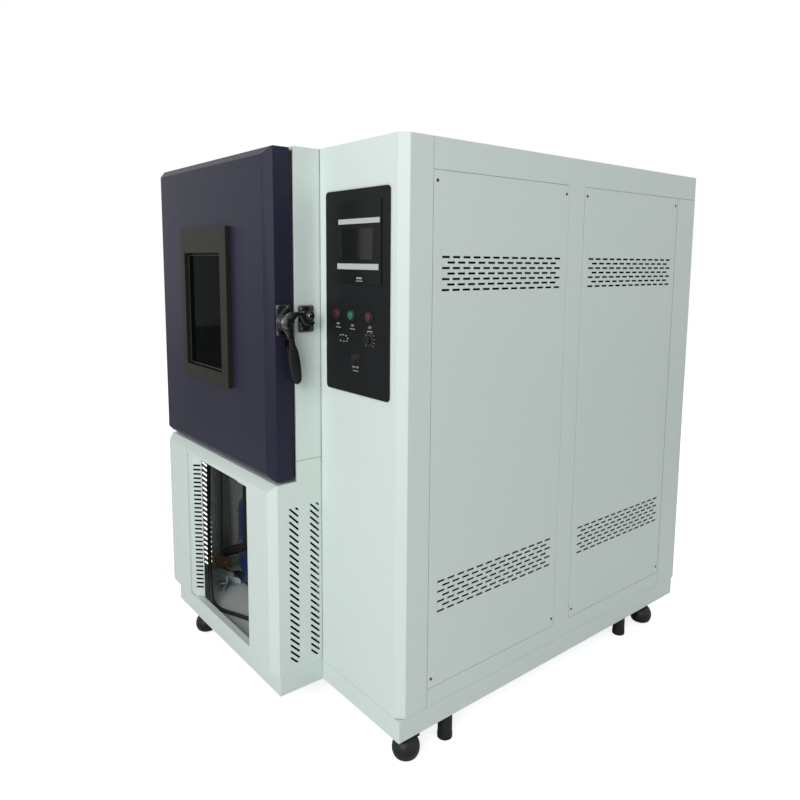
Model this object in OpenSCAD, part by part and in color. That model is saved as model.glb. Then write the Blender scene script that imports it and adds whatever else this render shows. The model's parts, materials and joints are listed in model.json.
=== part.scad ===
// Environmental test chamber: an insulated chamber with a windowed door on the left,
// and a control cabinet with a touch panel on the right, on casters and levelling feet.
// Units are millimetres. The front faces -Y, +Z is up, and the part stands on Z = 0.
// Sizes inside the modules count from the control cabinet's front right plinth corner.

/* [Cabinet] */
// Height from the floor to the cabinet top
overall_height = 1735; // [1600:1:1900]
// Width of the control cabinet on the right
control_width = 389; // [340:1:450]
// Width of the chamber section on the left
chamber_width = 820; // [780:1:900]
// Depth of the control cabinet, front to back
cabinet_depth = 1426; // [1380:1:1500]
// How far the chamber section stands ahead of the control cabinet
step_forward = 153; // [140:1:180]
// Width of the upright bevel on the control cabinet's front corner
corner_bevel = 22; // [10:1:30]
// Width of the 45 degree bevel round the door and the lower front frame
edge_bevel = 23; // [10:1:30]
// Thickness of the painted sheet panels
sheet = 2; // [1.5:0.5:3]
// How far the control front wraps round onto the right side
side_return = 101; // [80:1:120]
// Height of the band above the access panels
top_band = 83; // [60:1:100]
// Height of the seam between lower and upper side sheet above the plinth bottom
side_seam = 732; // [700:1:760]

/* [Plinth and feet] */
// Clear height between floor and plinth
plinth_gap = 85; // [80:1:95]
// Height of the plinth skirt
plinth_height = 64; // [50:1:80]
// How far the plinth stands in from the left side
plinth_left_inset = 23; // [10:1:40]
// How far the plinth stands in from the back
plinth_back_inset = 10; // [5:1:30]
// Thickness of the plinth skirt
skirt = 4; // [3:1:6]
// Underside of the caster rails above the plinth bottom
rail_bottom = 16; // [12:1:22]
// Thickness of the caster rails
rail_thick = 8; // [5:1:12]
// Radius of a levelling foot
foot_radius = 23; // [18:1:28]
// Radius of a levelling foot's stud
foot_stud_radius = 6; // [4:0.5:8]
// Radius of a caster wheel
wheel_radius = 35; // [32:1:36]
// Width of a caster wheel
wheel_width = 26; // [20:1:28]
// Radius of a caster axle
axle_radius = 4; // [3:0.5:6]
// Radius of a caster kingpin
kingpin_radius = 6; // [4:0.5:8]
// Distance between kingpin and axle
caster_trail = 24; // [18:1:26]
// Thickness of the round hood over a caster wheel
hood_wall = 1.8; // [1.5:0.1:3]
// Height of the caster wheels above the floor while the feet carry the load
wheel_lift = 1; // [0.5:0.5:3]

/* [Access panels] */
// Width of the front access panel
panel_front_width = 564; // [500:1:600]
// Width of the post between the two access panels
middle_post = 78; // [50:1:100]
// Width of the rear access panel
panel_rear_width = 561; // [500:1:600]
// Lower edge of the access panels above the plinth bottom
panel_bottom = 120; // [100:1:150]
// Gap round an access panel
panel_gap = 1.2; // [0.5:0.1:3]
// Depth of the frame behind the panels
frame_depth = 20; // [15:1:40]
// Width of the ledge that an access panel lies on
panel_ledge = 14; // [8:1:30]
// Middle of the upper vent above the plinth bottom
vent_upper = 1297; // [1200:1:1400]
// Middle of the lower vent above the plinth bottom
vent_lower = 388; // [300:1:500]
// Rows in a vent
vent_rows = 7; // [3:2:9]
// Distance between vent rows
vent_row_pitch = 14.7; // [10:0.1:20]
// Slots in the longer vent rows
vent_slots = 13; // [6:1:16]
// Distance between the slots of a row
vent_slot_pitch = 39; // [30:0.5:45]
// Length of a vent slot
vent_slot_length = 29; // [15:1:35]
// Height of a vent slot
vent_slot_height = 6; // [3:0.5:8]

/* [Lower front] */
// Left edge of the machine opening from the right edge of the chamber section
opening_left = 584; // [500:1:650]
// Right edge of the machine opening from the right edge of the chamber section
opening_right = 157; // [100:1:200]
// Lower edge of the machine opening above the plinth bottom
opening_bottom = 100; // [90:1:120]
// Upper edge of the machine opening above the plinth bottom
opening_top = 633; // [600:1:640]
// Width of the shallow rebate left of the machine opening
rebate_width = 50; // [30:1:70]
// Depth of that rebate
rebate_depth = 6; // [2:1:10]
// Depth and width of the slotted strip that stands at 45 degrees
strip_reach = 24.5; // [20:0.5:40]
// Slots in the strip
strip_slots = 30; // [10:1:32]
// Distance between the strip's slots
strip_pitch = 15.8; // [12:0.1:18]
// Height of a diagonal slot column above the plinth bottom
column_bottom = 90; // [80:1:120]
// Upper end of the diagonal slot columns
column_top = 589; // [500:1:640]
// Width of a diagonal slot column
column_width = 33; // [20:1:40]
// Distance between diagonal slots
diagonal_pitch = 20.7; // [15:0.1:30]
// Width of a diagonal slot
diagonal_slot = 6; // [3:0.5:9]

/* [Door] */
// Height of the door
door_height = 967; // [900:1:1000]
// How far the door's top lies below the cabinet top
door_drop = 5; // [2:1:10]
// Gap between the door and the ledge under it
ledge_gap = 10; // [5:1:15]
// Thickness of the door without its bevel
door_side = 52; // [40:1:60]
// Thickness of the door gasket
gasket_thick = 10.7; // [8:0.1:12]
// Width of the door gasket
gasket_width = 24; // [15:1:30]
// Inset of the gasket from the door's edges
gasket_inset = 4; // [2:1:20]
// Width of the window frame
window_width = 354; // [300:1:420]
// Height of the window frame
window_height = 502; // [400:1:600]
// Lower edge of the window frame above the door's bottom
window_bottom = 251; // [200:1:300]
// How far the window frame stands out of the door
window_proud = 16; // [8:1:25]
// Width of the window frame's left bar
window_bar_left = 31; // [20:1:60]
// Width of the window frame's right bar
window_bar_right = 46; // [20:1:60]
// Height of the window frame's upper bar
window_bar_top = 82; // [30:1:100]
// Height of the window frame's lower bar
window_bar_bottom = 43; // [20:1:60]
// Thickness of a window pane
pane = 6; // [4:1:8]
// Radius of the door hinge pins
hinge_pin_radius = 5; // [4:0.5:7]
// Radius of the door hinge knuckles
hinge_radius = 10; // [8:0.5:12]
// Length of one door hinge
hinge_length = 100; // [80:1:140]

/* [Latch] */
// Height of the latch pivot above the plinth bottom
latch_height = 1150; // [1000:1:1200]
// Radius of the latch pivot
latch_pin_radius = 6; // [4:0.5:8]
// Radius of the keeper's roller
roller_radius = 14; // [10:0.5:15]
// Radius of the keeper's axle
keeper_pin_radius = 4; // [3:0.5:6]
// Length of the hand grip
grip_length = 139; // [100:1:180]

/* [Chamber] */
// Clear width of the chamber
liner_width = 600; // [500:1:620]
// Clear height of the chamber
liner_height = 750; // [600:1:760]
// Clear depth of the chamber ahead of the air baffle
liner_depth = 500; // [400:1:600]
// Depth of the air duct behind the baffle
duct_depth = 150; // [100:1:180]
// Thickness of the insulation behind the chamber
back_insulation = 100; // [80:1:120]
// Height of the lower shelf above the chamber floor
shelf_low = 200; // [100:1:300]
// Height of the upper shelf above the chamber floor
shelf_high = 450; // [350:1:600]
// Radius of the fan shafts
shaft_radius = 8; // [6:0.5:10]

/* [Control panel] */
// Width of the control panel plate
plate_width = 300; // [250:1:320]
// Height of the control panel plate
plate_height = 567; // [500:1:600]
// Lower edge of the control panel plate above the plinth bottom
plate_bottom = 956; // [900:1:1000]
// Distance of the control panel plate from the right side
plate_right = 50; // [40:1:60]
// Thickness of the control panel plate
plate_thick = 4; // [2:0.5:6]
// Radius of the push buttons
button_radius = 11; // [8:0.5:15]
// Travel of the push buttons
button_travel = 3; // [2:0.5:5]
// Height of the push buttons above the plinth bottom
button_height = 1177; // [1150:1:1200]
// Tilt of the power switch rocker to either side
rocker_tilt = 8; // [5:1:8]
// Radius of the power switch's pivot pin
rocker_pin_radius = 1.2; // [0.8:0.1:1.4]
// Radius of the setting knob
knob_radius = 12; // [8:0.5:16]

/* [Fits] */
// Radial clearance of pins and shafts in their bores
running_clearance = 0.05; // [0.01:0.01:0.1]
// Clearance between faces that move past each other
face_clearance = 0.5; // [0.3:0.1:1]
// Air between the latch lever's nose and the keeper roller
nose_clearance = 2.3; // [1.5:0.1:4]
// Clearance between pieces that lie against each other
seat_clearance = 0.3; // [0.1:0.1:0.5]

/* [Hidden] */
$fn = 48;
chamber_right = -control_width;
chamber_left = chamber_right - chamber_width;
chamber_middle = (chamber_left + chamber_right) / 2;
top = overall_height - plinth_gap;
body_front = -step_forward;
door_front = body_front - edge_bevel;
door_back = body_front + door_side;
flange_front = door_back + gasket_thick + seat_clearance;
flange_back = flange_front + sheet;
door_top = top - door_drop;
door_bottom = door_top - door_height;
ledge = door_bottom - ledge_gap;
window_left = chamber_middle - window_width / 2;
window_right = chamber_middle + window_width / 2;
window_low = door_bottom + window_bottom;
window_high = window_low + window_height;
glass_left = window_left + window_bar_left;
glass_right = window_right - window_bar_right;
glass_low = window_low + window_bar_bottom;
glass_high = window_high - window_bar_top;
sleeve = 3;
sleeve_wall = 5;
panel_top = top - top_band;
panel_front = [side_return, side_return + panel_front_width];
panel_rear = [panel_front[1] + middle_post, panel_front[1] + middle_post + panel_rear_width];
hinge_x = chamber_left - hinge_radius - 2;
hinge_y = door_back - 11;
hinge_low = door_bottom + 130;
hinge_high = door_top - 130 - hinge_length;
screw_head = 1.5;
side_x = (control_width + chamber_width + 2 + 2 * hinge_radius - screw_head) / 2;
front_y = -(cabinet_depth + door_front - window_proud) / 2;
liner_low = (door_bottom + door_top) / 2 - liner_height / 2;
liner_back = flange_front + liner_depth + duct_depth;
baffle_y = flange_front + liner_depth;
tray_top = plinth_height + sheet;
casing_back = liner_back + sheet + back_insulation + sheet;
hose_height = tray_top + seat_clearance + 6.5;
plate_left = -plate_right - plate_width;
latch_y = -131;
latch_x = chamber_right + 22;
keeper_y = -55;
keeper_z = latch_height + 18;
rocker_x = -202;
rocker_z = 1059;
knob_x = -136;
knob_z = 1115;
buttons = [-291, -219, -136];
fan_z = 1290;
condenser_y = (panel_rear[0] + panel_rear[1]) / 2;
condenser_x = -40;
compressor = [-985, 88];
compressor_radius = 77;
axle_z = wheel_lift + wheel_radius - plinth_gap;
caster_x = [-34, -1058];
caster_y = [77, 1233];
caster_front_left = [-1038, -86];
foot_places = [[-30, 201], [-40, 1116], [-1058, 37], [-1058, 1116]];

// Moves a sub-part from the cabinet corner's frame to the part's frame.
module place() {
    translate([side_x, front_y, plinth_gap]) children();
}

// Box between two limits on each axis.
module box(x, y, z) {
    translate([x[0], y[0], z[0]]) cube([x[1] - x[0], y[1] - y[0], z[1] - z[0]]);
}

// Round bar along X.
module rod_x(x, y, z, r) {
    translate([x[0], y, z]) rotate([0, 90, 0]) cylinder(h = x[1] - x[0], r = r);
}

// Round bar along Y.
module rod_y(x, y, z, r) {
    translate([x, y[0], z]) rotate([-90, 0, 0]) cylinder(h = y[1] - y[0], r = r);
}

// Round bar along Z.
module rod_z(x, y, z, r) {
    translate([x, y, z[0]]) cylinder(h = z[1] - z[0], r = r);
}

// Vector of length 1 along v.
function unit(v) = v / norm(v);

// Point of a smooth bend that leaves a towards b and arrives at c, t from 0 to 1.
function bent(a, b, c, t) = (1 - t) * (1 - t) * a + 2 * t * (1 - t) * b + t * t * c;

// Distance from a corner at which its bend starts.
function bend_start(p, q, bend) = min(bend, norm(q - p) * 0.48);

// Route through the points, with a smooth bend at each inner one.
function route(points, bend) = [
    points[0],
    for (i = [1:len(points) - 2])
        let (
            p = points[i],
            a = p + unit(points[i - 1] - p) * bend_start(p, points[i - 1], bend),
            c = p + unit(points[i + 1] - p) * bend_start(p, points[i + 1], bend)
        )
        for (t = [0:0.25:1]) bent(a, p, c, t),
    points[len(points) - 1]];

// Direction of a route at one of its points.
function heading(path, i) =
    i == 0 ? unit(path[1] - path[0]) :
    i == len(path) - 1 ? unit(path[i] - path[i - 1]) :
    unit(unit(path[i + 1] - path[i]) + unit(path[i] - path[i - 1]));

// Sideways vectors along a route, each turned as little as possible from the last.
function sideways(path, n, i = 0) =
    i == len(path) ? [] :
    let (
        d = heading(path, i),
        m = unit(n - (n * d) * d)
    )
    concat([m], sideways(path, m, i + 1));

// Round tube or hose swept along a route.
module tube(points, r, bend, sides) {
    path = route(points, bend);
    across = sideways(path, [0.31, 0.87, 0.38]);
    count = len(path);
    corners = [for (i = [0:count - 1])
        let (
            m = across[i],
            b = cross(heading(path, i), m)
        )
        for (k = [0:sides - 1])
            path[i] + r * (cos(360 * k / sides) * m + sin(360 * k / sides) * b)];
    walls = [for (i = [0:count - 2])
        for (k = [0:sides - 1])
            [i * sides + k, (i + 1) * sides + k, (i + 1) * sides + (k + 1) % sides,
                i * sides + (k + 1) % sides]];
    first = [for (k = [0:sides - 1]) k];
    last = [for (k = [sides - 1:-1:0]) (count - 1) * sides + k];
    polyhedron(points = corners, faces = concat([first], walls, [last]));
}

// Outline of the whole footprint, drawn in by a distance on every side.
module footprint(inset) {
    polygon([
        [chamber_left + inset, body_front + inset],
        [chamber_right - inset, body_front + inset],
        [chamber_right - inset, inset],
        [-corner_bevel - inset * 0.42, inset],
        [-inset, corner_bevel + inset * 0.42],
        [-inset, cabinet_depth - inset],
        [chamber_left + inset, cabinet_depth - inset]]);
}

// Outline of the plinth, drawn in by a distance on every side.
module plinth_outline(inset) {
    polygon([
        [chamber_left + plinth_left_inset + inset, body_front + inset],
        [chamber_right - inset, body_front + inset],
        [chamber_right - inset, inset],
        [-inset, inset],
        [-inset, cabinet_depth - plinth_back_inset - inset],
        [chamber_left + plinth_left_inset + inset, cabinet_depth - plinth_back_inset - inset]]);
}

// Skirt with a rail along each side that carries casters and feet.
module plinth() {
    color("#e3e9e2")
    place()
    difference() {
        union() {
            linear_extrude(height = plinth_height)
            difference() {
                plinth_outline(0);
                plinth_outline(skirt);
            }
            box([-110, -skirt / 2], [skirt / 2, cabinet_depth - plinth_back_inset - skirt / 2],
                [rail_bottom, rail_bottom + rail_thick]);
            box([chamber_left + plinth_left_inset + skirt / 2, -1000],
                [body_front + skirt / 2, cabinet_depth - plinth_back_inset - skirt / 2],
                [rail_bottom, rail_bottom + rail_thick]);
            box([chamber_right - skirt, chamber_right],
                [-skirt, cabinet_depth - plinth_back_inset - skirt / 2], [20, plinth_height]);
        }
        for (p = foot_places)
            rod_z(p[0], p[1], [0, plinth_height], foot_stud_radius + seat_clearance);
    }
}

// Floor sheet of the machine room and the control cabinet.
module base_tray() {
    color("#9aa09c")
    place()
    translate([0, 0, plinth_height])
    linear_extrude(height = sheet)
    footprint(sheet);
}

// Outline of a slot with round ends.
module slot_outline(length, width) {
    square([length - width, width], center = true);
    for (side = [-1, 1])
        translate([side * (length - width) / 2, 0])
        circle(d = width);
}

// Column of slots that run down at 45 degrees, clipped to its rectangle.
module diagonal_column(y) {
    count = ceil((column_top - column_bottom + column_width) / diagonal_pitch) - 1;
    intersection() {
        translate([y, column_bottom])
        square([column_width, column_top - column_bottom]);
        for (i = [0:count])
            translate([y + column_width / 2, column_bottom + (i + 0.4) * diagonal_pitch])
            rotate(-45)
            slot_outline(column_width * 1.38, diagonal_slot);
    }
}

// Sheet that stands across X, drawn as an outline of Y and Z.
module side_sheet(x) {
    translate([x, 0, 0])
    rotate([90, 0, 90])
    linear_extrude(height = sheet)
    children();
}

// Whole left side sheet, with a step behind the door.
module left_side_panel() {
    color("#dfe5de")
    place()
    side_sheet(chamber_left)
    difference() {
        polygon([[body_front, plinth_height], [cabinet_depth, plinth_height],
            [cabinet_depth, top], [flange_back, top], [flange_back, ledge],
            [body_front, ledge]]);
        diagonal_column(-115.5);
        diagonal_column(-42.8);
    }
}

// Visible right side sheet under the seam, with two columns of slots.
module right_lower_panel() {
    color("#dfe5de")
    place()
    side_sheet(chamber_right - sheet)
    difference() {
        polygon([[body_front, plinth_height], [0, plinth_height],
            [0, side_seam - panel_gap], [flange_back, side_seam - panel_gap],
            [flange_back, ledge], [body_front, ledge]]);
        diagonal_column(-115.5);
        diagonal_column(-42.8);
    }
}

// Visible right side sheet above the seam; the latch keeper sits on it.
module right_upper_panel() {
    color("#e3e9e2")
    place()
    box([chamber_right - sheet, chamber_right], [flange_back, 0], [side_seam, top]);
}

// Roof sheet over chamber and control cabinet.
module top_cover() {
    color("#e3e9e2")
    place()
    translate([0, 0, top - sheet])
    linear_extrude(height = sheet)
    polygon([
        [chamber_left + sheet, flange_back],
        [chamber_right - sheet, flange_back],
        [chamber_right - sheet, sheet],
        [-corner_bevel - sheet * 0.42, sheet],
        [-sheet, corner_bevel + sheet * 0.42],
        [-sheet, cabinet_depth - sheet],
        [chamber_left + sheet, cabinet_depth - sheet]]);
}

// Block with 45 degree bevels round its front, between left, right, low, high and back.
module bevelled_block(left, right, low, high, back) {
    intersection() {
        translate([0, 0, low])
        linear_extrude(height = high - low)
        polygon([[left + edge_bevel, door_front], [right - edge_bevel, door_front],
            [right, body_front], [right, back], [left, back], [left, body_front]]);
        translate([left, 0, 0])
        rotate([90, 0, 90])
        linear_extrude(height = right - left)
        polygon([[door_front, low + edge_bevel], [door_front, high - edge_bevel],
            [body_front, high], [back, high], [back, low], [body_front, low]]);
    }
}

// Bevelled frame round the machine opening, with the ledge under the door.
module lower_front_frame() {
    left = chamber_right - opening_left;
    right = chamber_right - opening_right;
    color("#dfe5de")
    place()
    union() {
        difference() {
            bevelled_block(chamber_left, chamber_right, plinth_height, ledge, body_front);
            box([left, right], [door_front - 1, body_front + 1], [opening_bottom, opening_top]);
            box([left - rebate_width, left + 1], [door_front - 1, door_front + rebate_depth],
                [opening_bottom - 6, opening_top + 2]);
        }
        box([chamber_left + sheet, chamber_right - sheet], [body_front - 1, flange_back],
            [ledge - sheet, ledge]);
    }
}

// Slotted strip turned inwards at the left edge of the machine opening.
module vent_strip() {
    left = chamber_right - opening_left;
    back = door_front + strip_reach;
    first = (opening_bottom + opening_top) / 2 - (strip_slots - 1) * strip_pitch / 2;
    color("#f2f6f1")
    place()
    difference() {
        translate([0, 0, opening_bottom])
        linear_extrude(height = opening_top - opening_bottom)
        polygon([[left, door_front], [left + strip_reach, back], [left + strip_reach - 1.4, back + 1.4],
            [left, door_front + 2.8]]);
        for (i = [0:strip_slots - 1])
            translate([left + strip_reach / 2, door_front + strip_reach / 2, first + i * strip_pitch])
            rotate([0, 0, 45])
            cube([28, 20, 7], center = true);
    }
}

// Front sheet of the control cabinet, bevelled and wrapped onto the right side.
module control_front() {
    color("#e3e9e2")
    place()
    difference() {
        translate([0, 0, plinth_height])
        linear_extrude(height = top - plinth_height)
        polygon([[chamber_right, 0], [-corner_bevel, 0], [0, corner_bevel], [0, side_return],
            [-sheet, side_return], [-sheet, corner_bevel + sheet * 0.42],
            [-corner_bevel - sheet * 0.42, sheet], [chamber_right, sheet]]);
        box([plate_left + 12, -plate_right - 12], [-1, sheet + 1],
            [plate_bottom + 12, plate_bottom + plate_height - 12]);
    }
}

// Frame of the right side: bands, middle post and the ledges behind the panels.
module side_frame() {
    back_post = panel_rear[1] + panel_gap;
    inner = -sheet - frame_depth;
    color("#e3e9e2")
    place()
    difference() {
        union() {
            box([-sheet, 0], [side_return + panel_gap, cabinet_depth], [panel_top, top]);
            box([-sheet, 0], [side_return + panel_gap, back_post], [plinth_height, panel_bottom]);
            box([-sheet, 0], [panel_front[1], panel_rear[0]], [plinth_height, top]);
            box([inner, -sheet], [side_return - 12, cabinet_depth - sheet],
                [tray_top, top - sheet]);
        }
        box([inner - 1, -sheet + 1], [panel_front[0] + panel_ledge, panel_front[1] - panel_ledge],
            [panel_bottom + panel_ledge, panel_top - panel_ledge]);
        box([inner - 1, -sheet + 1], [panel_rear[0] + panel_ledge, panel_rear[1] - panel_ledge],
            [panel_bottom + panel_ledge, panel_top - panel_ledge]);
    }
}

// Staggered rows of vent slots round a middle height.
module vent(middle, height) {
    for (row = [0:vent_rows - 1]) {
        slots = vent_slots - row % 2;
        for (i = [0:slots - 1])
            translate([middle + (i - (slots - 1) / 2) * vent_slot_pitch,
                height + (row - (vent_rows - 1) / 2) * vent_row_pitch])
            slot_outline(vent_slot_length, vent_slot_height);
    }
}

// Flush access panel with an upper and a lower vent.
module access_panel(span) {
    color("#dfe5de")
    place()
    side_sheet(-sheet)
    difference() {
        translate([span[0] + panel_gap, panel_bottom + panel_gap])
        square([span[1] - span[0] - 2 * panel_gap, panel_top - panel_bottom - 2 * panel_gap]);
        vent((span[0] + span[1]) / 2, vent_upper);
        vent((span[0] + span[1]) / 2, vent_lower);
    }
}

// Front access panel.
module access_panel_front() {
    access_panel(panel_front);
}

// Rear access panel.
module access_panel_rear() {
    access_panel(panel_rear);
}

// Back sheet; its right edge wraps round as the rear post.
module back_panel() {
    post = panel_rear[1] + 2 * panel_gap;
    color("#e3e9e2")
    place()
    difference() {
        union() {
            box([chamber_left + sheet, -sheet], [cabinet_depth - sheet, cabinet_depth],
                [plinth_height, top]);
            box([-sheet, 0], [post, cabinet_depth], [plinth_height, panel_top - panel_gap]);
        }
        for (i = [0:9]) {
            box([-340, -60], [cabinet_depth - 3 * sheet, cabinet_depth + 1],
                [300 + i * 20, 306 + i * 20]);
            box([-340, -60], [cabinet_depth - 3 * sheet, cabinet_depth + 1],
                [1200 + i * 20, 1206 + i * 20]);
            box([-950, -650], [cabinet_depth - 3 * sheet, cabinet_depth + 1],
                [300 + i * 20, 306 + i * 20]);
        }
    }
}

// Wall between the chamber section and the control cabinet.
module inner_partition() {
    color("#c9cfc9")
    place()
    difference() {
        box([chamber_right - sheet, chamber_right], [sheet, cabinet_depth - sheet],
            [tray_top, top - sheet]);
        rod_x([chamber_right - 10, chamber_right + 10], 700, 300, 11);
        rod_x([chamber_right - 10, chamber_right + 10], 640, 200, 11);
    }
}

// Screw heads of the access panels.
module panel_screws() {
    color("#8f9290")
    place()
    for (span = [panel_front, panel_rear])
        for (y = [span[0] + 14, span[1] - 14])
            for (z = [panel_bottom + 28, panel_top - 28])
                rod_x([0, screw_head], y, z, 4.5);
}

// Stainless lining of the chamber with its front flange.
module liner() {
    half = liner_width / 2;
    color("#b9bdbd")
    place()
    difference() {
        union() {
            box([chamber_left + sheet, chamber_right - sheet], [flange_front, flange_back],
                [ledge, top - sheet]);
            box([chamber_middle - half - sheet, chamber_middle + half + sheet],
                [flange_front, liner_back + sheet],
                [liner_low - sheet, liner_low + liner_height + sheet]);
        }
        box([chamber_middle - half, chamber_middle + half], [flange_front - 1, liner_back],
            [liner_low, liner_low + liner_height]);
        rod_y(chamber_middle, [liner_back - 5, liner_back + 5], fan_z, 2 * shaft_radius);
    }
}

// Foam round the lining.
module insulation() {
    half = liner_width / 2 + sheet;
    color("#d8c98a")
    place()
    difference() {
        box([chamber_left + sheet, chamber_right - sheet],
            [flange_back, liner_back + sheet + back_insulation], [ledge, top - sheet]);
        box([chamber_middle - half, chamber_middle + half],
            [flange_back - 1, liner_back + sheet],
            [liner_low - sheet, liner_low + liner_height + sheet]);
        rod_y(chamber_middle, [liner_back, liner_back + back_insulation + 20], fan_z,
            2 * shaft_radius);
    }
}

// Soft seal on the back of the door.
module door_gasket() {
    outer = gasket_inset;
    inner = gasket_inset + gasket_width;
    color("#1d1f1f")
    place()
    difference() {
        box([chamber_left + outer, chamber_right - outer], [door_back, door_back + gasket_thick],
            [door_bottom + outer, door_top - outer]);
        box([chamber_left + inner, chamber_right - inner],
            [door_back - 1, door_back + gasket_thick + 1],
            [door_bottom + inner, door_top - inner]);
    }
}

// Upright posts and angles that carry the shelves.
module shelf_rails() {
    half = liner_width / 2;
    color("#a9adad")
    place()
    for (side = [-1, 1])
        translate([chamber_middle, 0, 0]) {
            for (y = [flange_front + 50, baffle_y - 60])
                box([side * half - (side + 1) * 4, side * half - (side - 1) * 4], [y, y + 20],
                    [liner_low, liner_low + liner_height]);
            for (h = [shelf_low, shelf_high])
                box([side * (half - 8) - (side + 1) * 8, side * (half - 8) - (side - 1) * 8],
                    [flange_front + 35, baffle_y - 25], [liner_low + h - 12, liner_low + h]);
        }
}

// Two shelves of parallel bars.
module shelves() {
    half = liner_width / 2 - 12;
    front = flange_front + 40;
    back = baffle_y - 30;
    color("#b4b8b8")
    place()
    for (h = [shelf_low, shelf_high])
        translate([chamber_middle, 0, liner_low + h]) {
            box([-half, half], [front, front + 8], [0, 8]);
            box([-half, half], [back - 8, back], [0, 8]);
            for (i = [0:16])
                box([-half + i * (half - 3) / 8, -half + i * (half - 3) / 8 + 6],
                    [front + 1, back - 1], [2, 7]);
        }
}

// Sheet between the chamber and the air duct, slotted above and below.
module air_baffle() {
    half = liner_width / 2;
    color("#b0b4b4")
    place()
    difference() {
        box([chamber_middle - half, chamber_middle + half], [baffle_y, baffle_y + sheet],
            [liner_low, liner_low + liner_height]);
        for (i = [0:13])
            for (z = [liner_low + 40, liner_low + liner_height - 90])
                box([chamber_middle - half + 40 + i * 38, chamber_middle - half + 58 + i * 38],
                    [baffle_y - 1, baffle_y + sheet + 1], [z, z + 50]);
        for (i = [0:6])
            box([chamber_middle - 100, chamber_middle + 100],
                [baffle_y - 1, baffle_y + sheet + 1], [fan_z - 93 + i * 28, fan_z - 75 + i * 28]);
    }
}

// Circulation fan wheel and its shaft behind the baffle.
module fan_impeller() {
    color("#9da2a2")
    place()
    union() {
        rod_y(chamber_middle, [baffle_y + 40, baffle_y + 44], fan_z, 110);
        rod_y(chamber_middle, [baffle_y + 30, baffle_y + 60], fan_z, 20);
        rod_y(chamber_middle, [baffle_y + 50, casing_back + 60], fan_z, shaft_radius);
        for (i = [0:11])
            translate([chamber_middle, 0, fan_z])
            rotate([0, i * 30, 0])
            box([70, 108], [baffle_y + 43, baffle_y + 90], [-1.5, 1.5]);
    }
}

// Motors of the circulation fan and the condenser fan.
module fan_motors() {
    back = casing_back;
    color("#3c4144")
    place() {
        difference() {
            union() {
                box([chamber_middle - 75, chamber_middle + 75], [back, back + 8],
                    [fan_z - 75, fan_z + 75]);
                rod_y(chamber_middle, [back + 7, back + 150], fan_z, 62);
            }
            rod_y(chamber_middle, [back - 1, back + 90], fan_z, shaft_radius + running_clearance);
        }
        difference() {
            union() {
                rod_x([condenser_x - 260, condenser_x - 180], condenser_y, vent_lower, 45);
                box([condenser_x - 250, condenser_x - 190], [condenser_y - 20, condenser_y + 20],
                    [tray_top, vent_lower - 30]);
                box([condenser_x - 260, condenser_x - 180], [condenser_y - 50, condenser_y + 50],
                    [tray_top, tray_top + 6]);
            }
            rod_x([condenser_x - 230, condenser_x - 170], condenser_y, vent_lower,
                shaft_radius + running_clearance);
        }
    }
}

// Bevelled outer body of the door with the hole for the window.
module door_shell() {
    color("#3a3b4e")
    place()
    difference() {
        bevelled_block(chamber_left, chamber_right, door_bottom, door_top, door_back);
        box([glass_left - sleeve - sleeve_wall, glass_right + sleeve + sleeve_wall],
            [door_front - 1, door_back + 1],
            [glass_low - sleeve - sleeve_wall, glass_high + sleeve + sleeve_wall]);
    }
}

// Stainless inner door plate with the plug that enters the chamber mouth.
module door_inner() {
    inner = gasket_inset + gasket_width;
    color("#b9bdbd")
    place()
    difference() {
        union() {
            box([chamber_left + inner, chamber_right - inner], [door_back, door_back + sheet],
                [door_bottom + inner, door_top - inner]);
            box([chamber_middle - liner_width / 2 + 12, chamber_middle + liner_width / 2 - 12],
                [door_back, door_back + 33],
                [liner_low + 12, liner_low + liner_height - 12]);
        }
        box([glass_left - sleeve, glass_right + sleeve], [door_back - 1, door_back + 34],
            [glass_low - sleeve, glass_high + sleeve]);
    }
}

// Dark window frame that stands out of the door, with its sleeve through the door.
module window_frame() {
    color("#4a4a42")
    place()
    difference() {
        union() {
            box([window_left, window_right], [door_front - window_proud, door_front],
                [window_low, window_high]);
            box([glass_left - sleeve - sleeve_wall, glass_right + sleeve + sleeve_wall],
                [door_front - 1, door_back],
                [glass_low - sleeve - sleeve_wall, glass_high + sleeve + sleeve_wall]);
        }
        box([glass_left, glass_right], [door_front - window_proud - 1, door_back + 1],
            [glass_low, glass_high]);
        box([glass_left - sleeve, glass_right + sleeve], [door_front, door_back + 1],
            [glass_low - sleeve, glass_high + sleeve]);
    }
}

// Three panes one behind the other.
module window_glass() {
    color("#2c3638")
    place()
    for (y = [door_front, door_front + 40, door_back + 20])
        box([glass_left - sleeve, glass_right + sleeve], [y, y + pane],
            [glass_low - sleeve, glass_high + sleeve]);
}

// Housing of the latch on the door's edge, held by four screws.
module latch_base() {
    color("#6f7376")
    place()
    difference() {
        union() {
            box([chamber_right, chamber_right + 9], [latch_y - 22, latch_y + 24],
                [latch_height - 36, latch_height + 52]);
            rod_x([chamber_right + 8, latch_x], latch_y, latch_height, 22);
            for (y = [latch_y - 15, latch_y + 17])
                for (z = [latch_height - 29, latch_height + 45])
                    rod_x([chamber_right + 8, chamber_right + 10.5], y, z, 4);
        }
        rod_x([chamber_right + 4, latch_x + 1], latch_y, latch_height,
            latch_pin_radius + running_clearance);
    }
}

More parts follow.
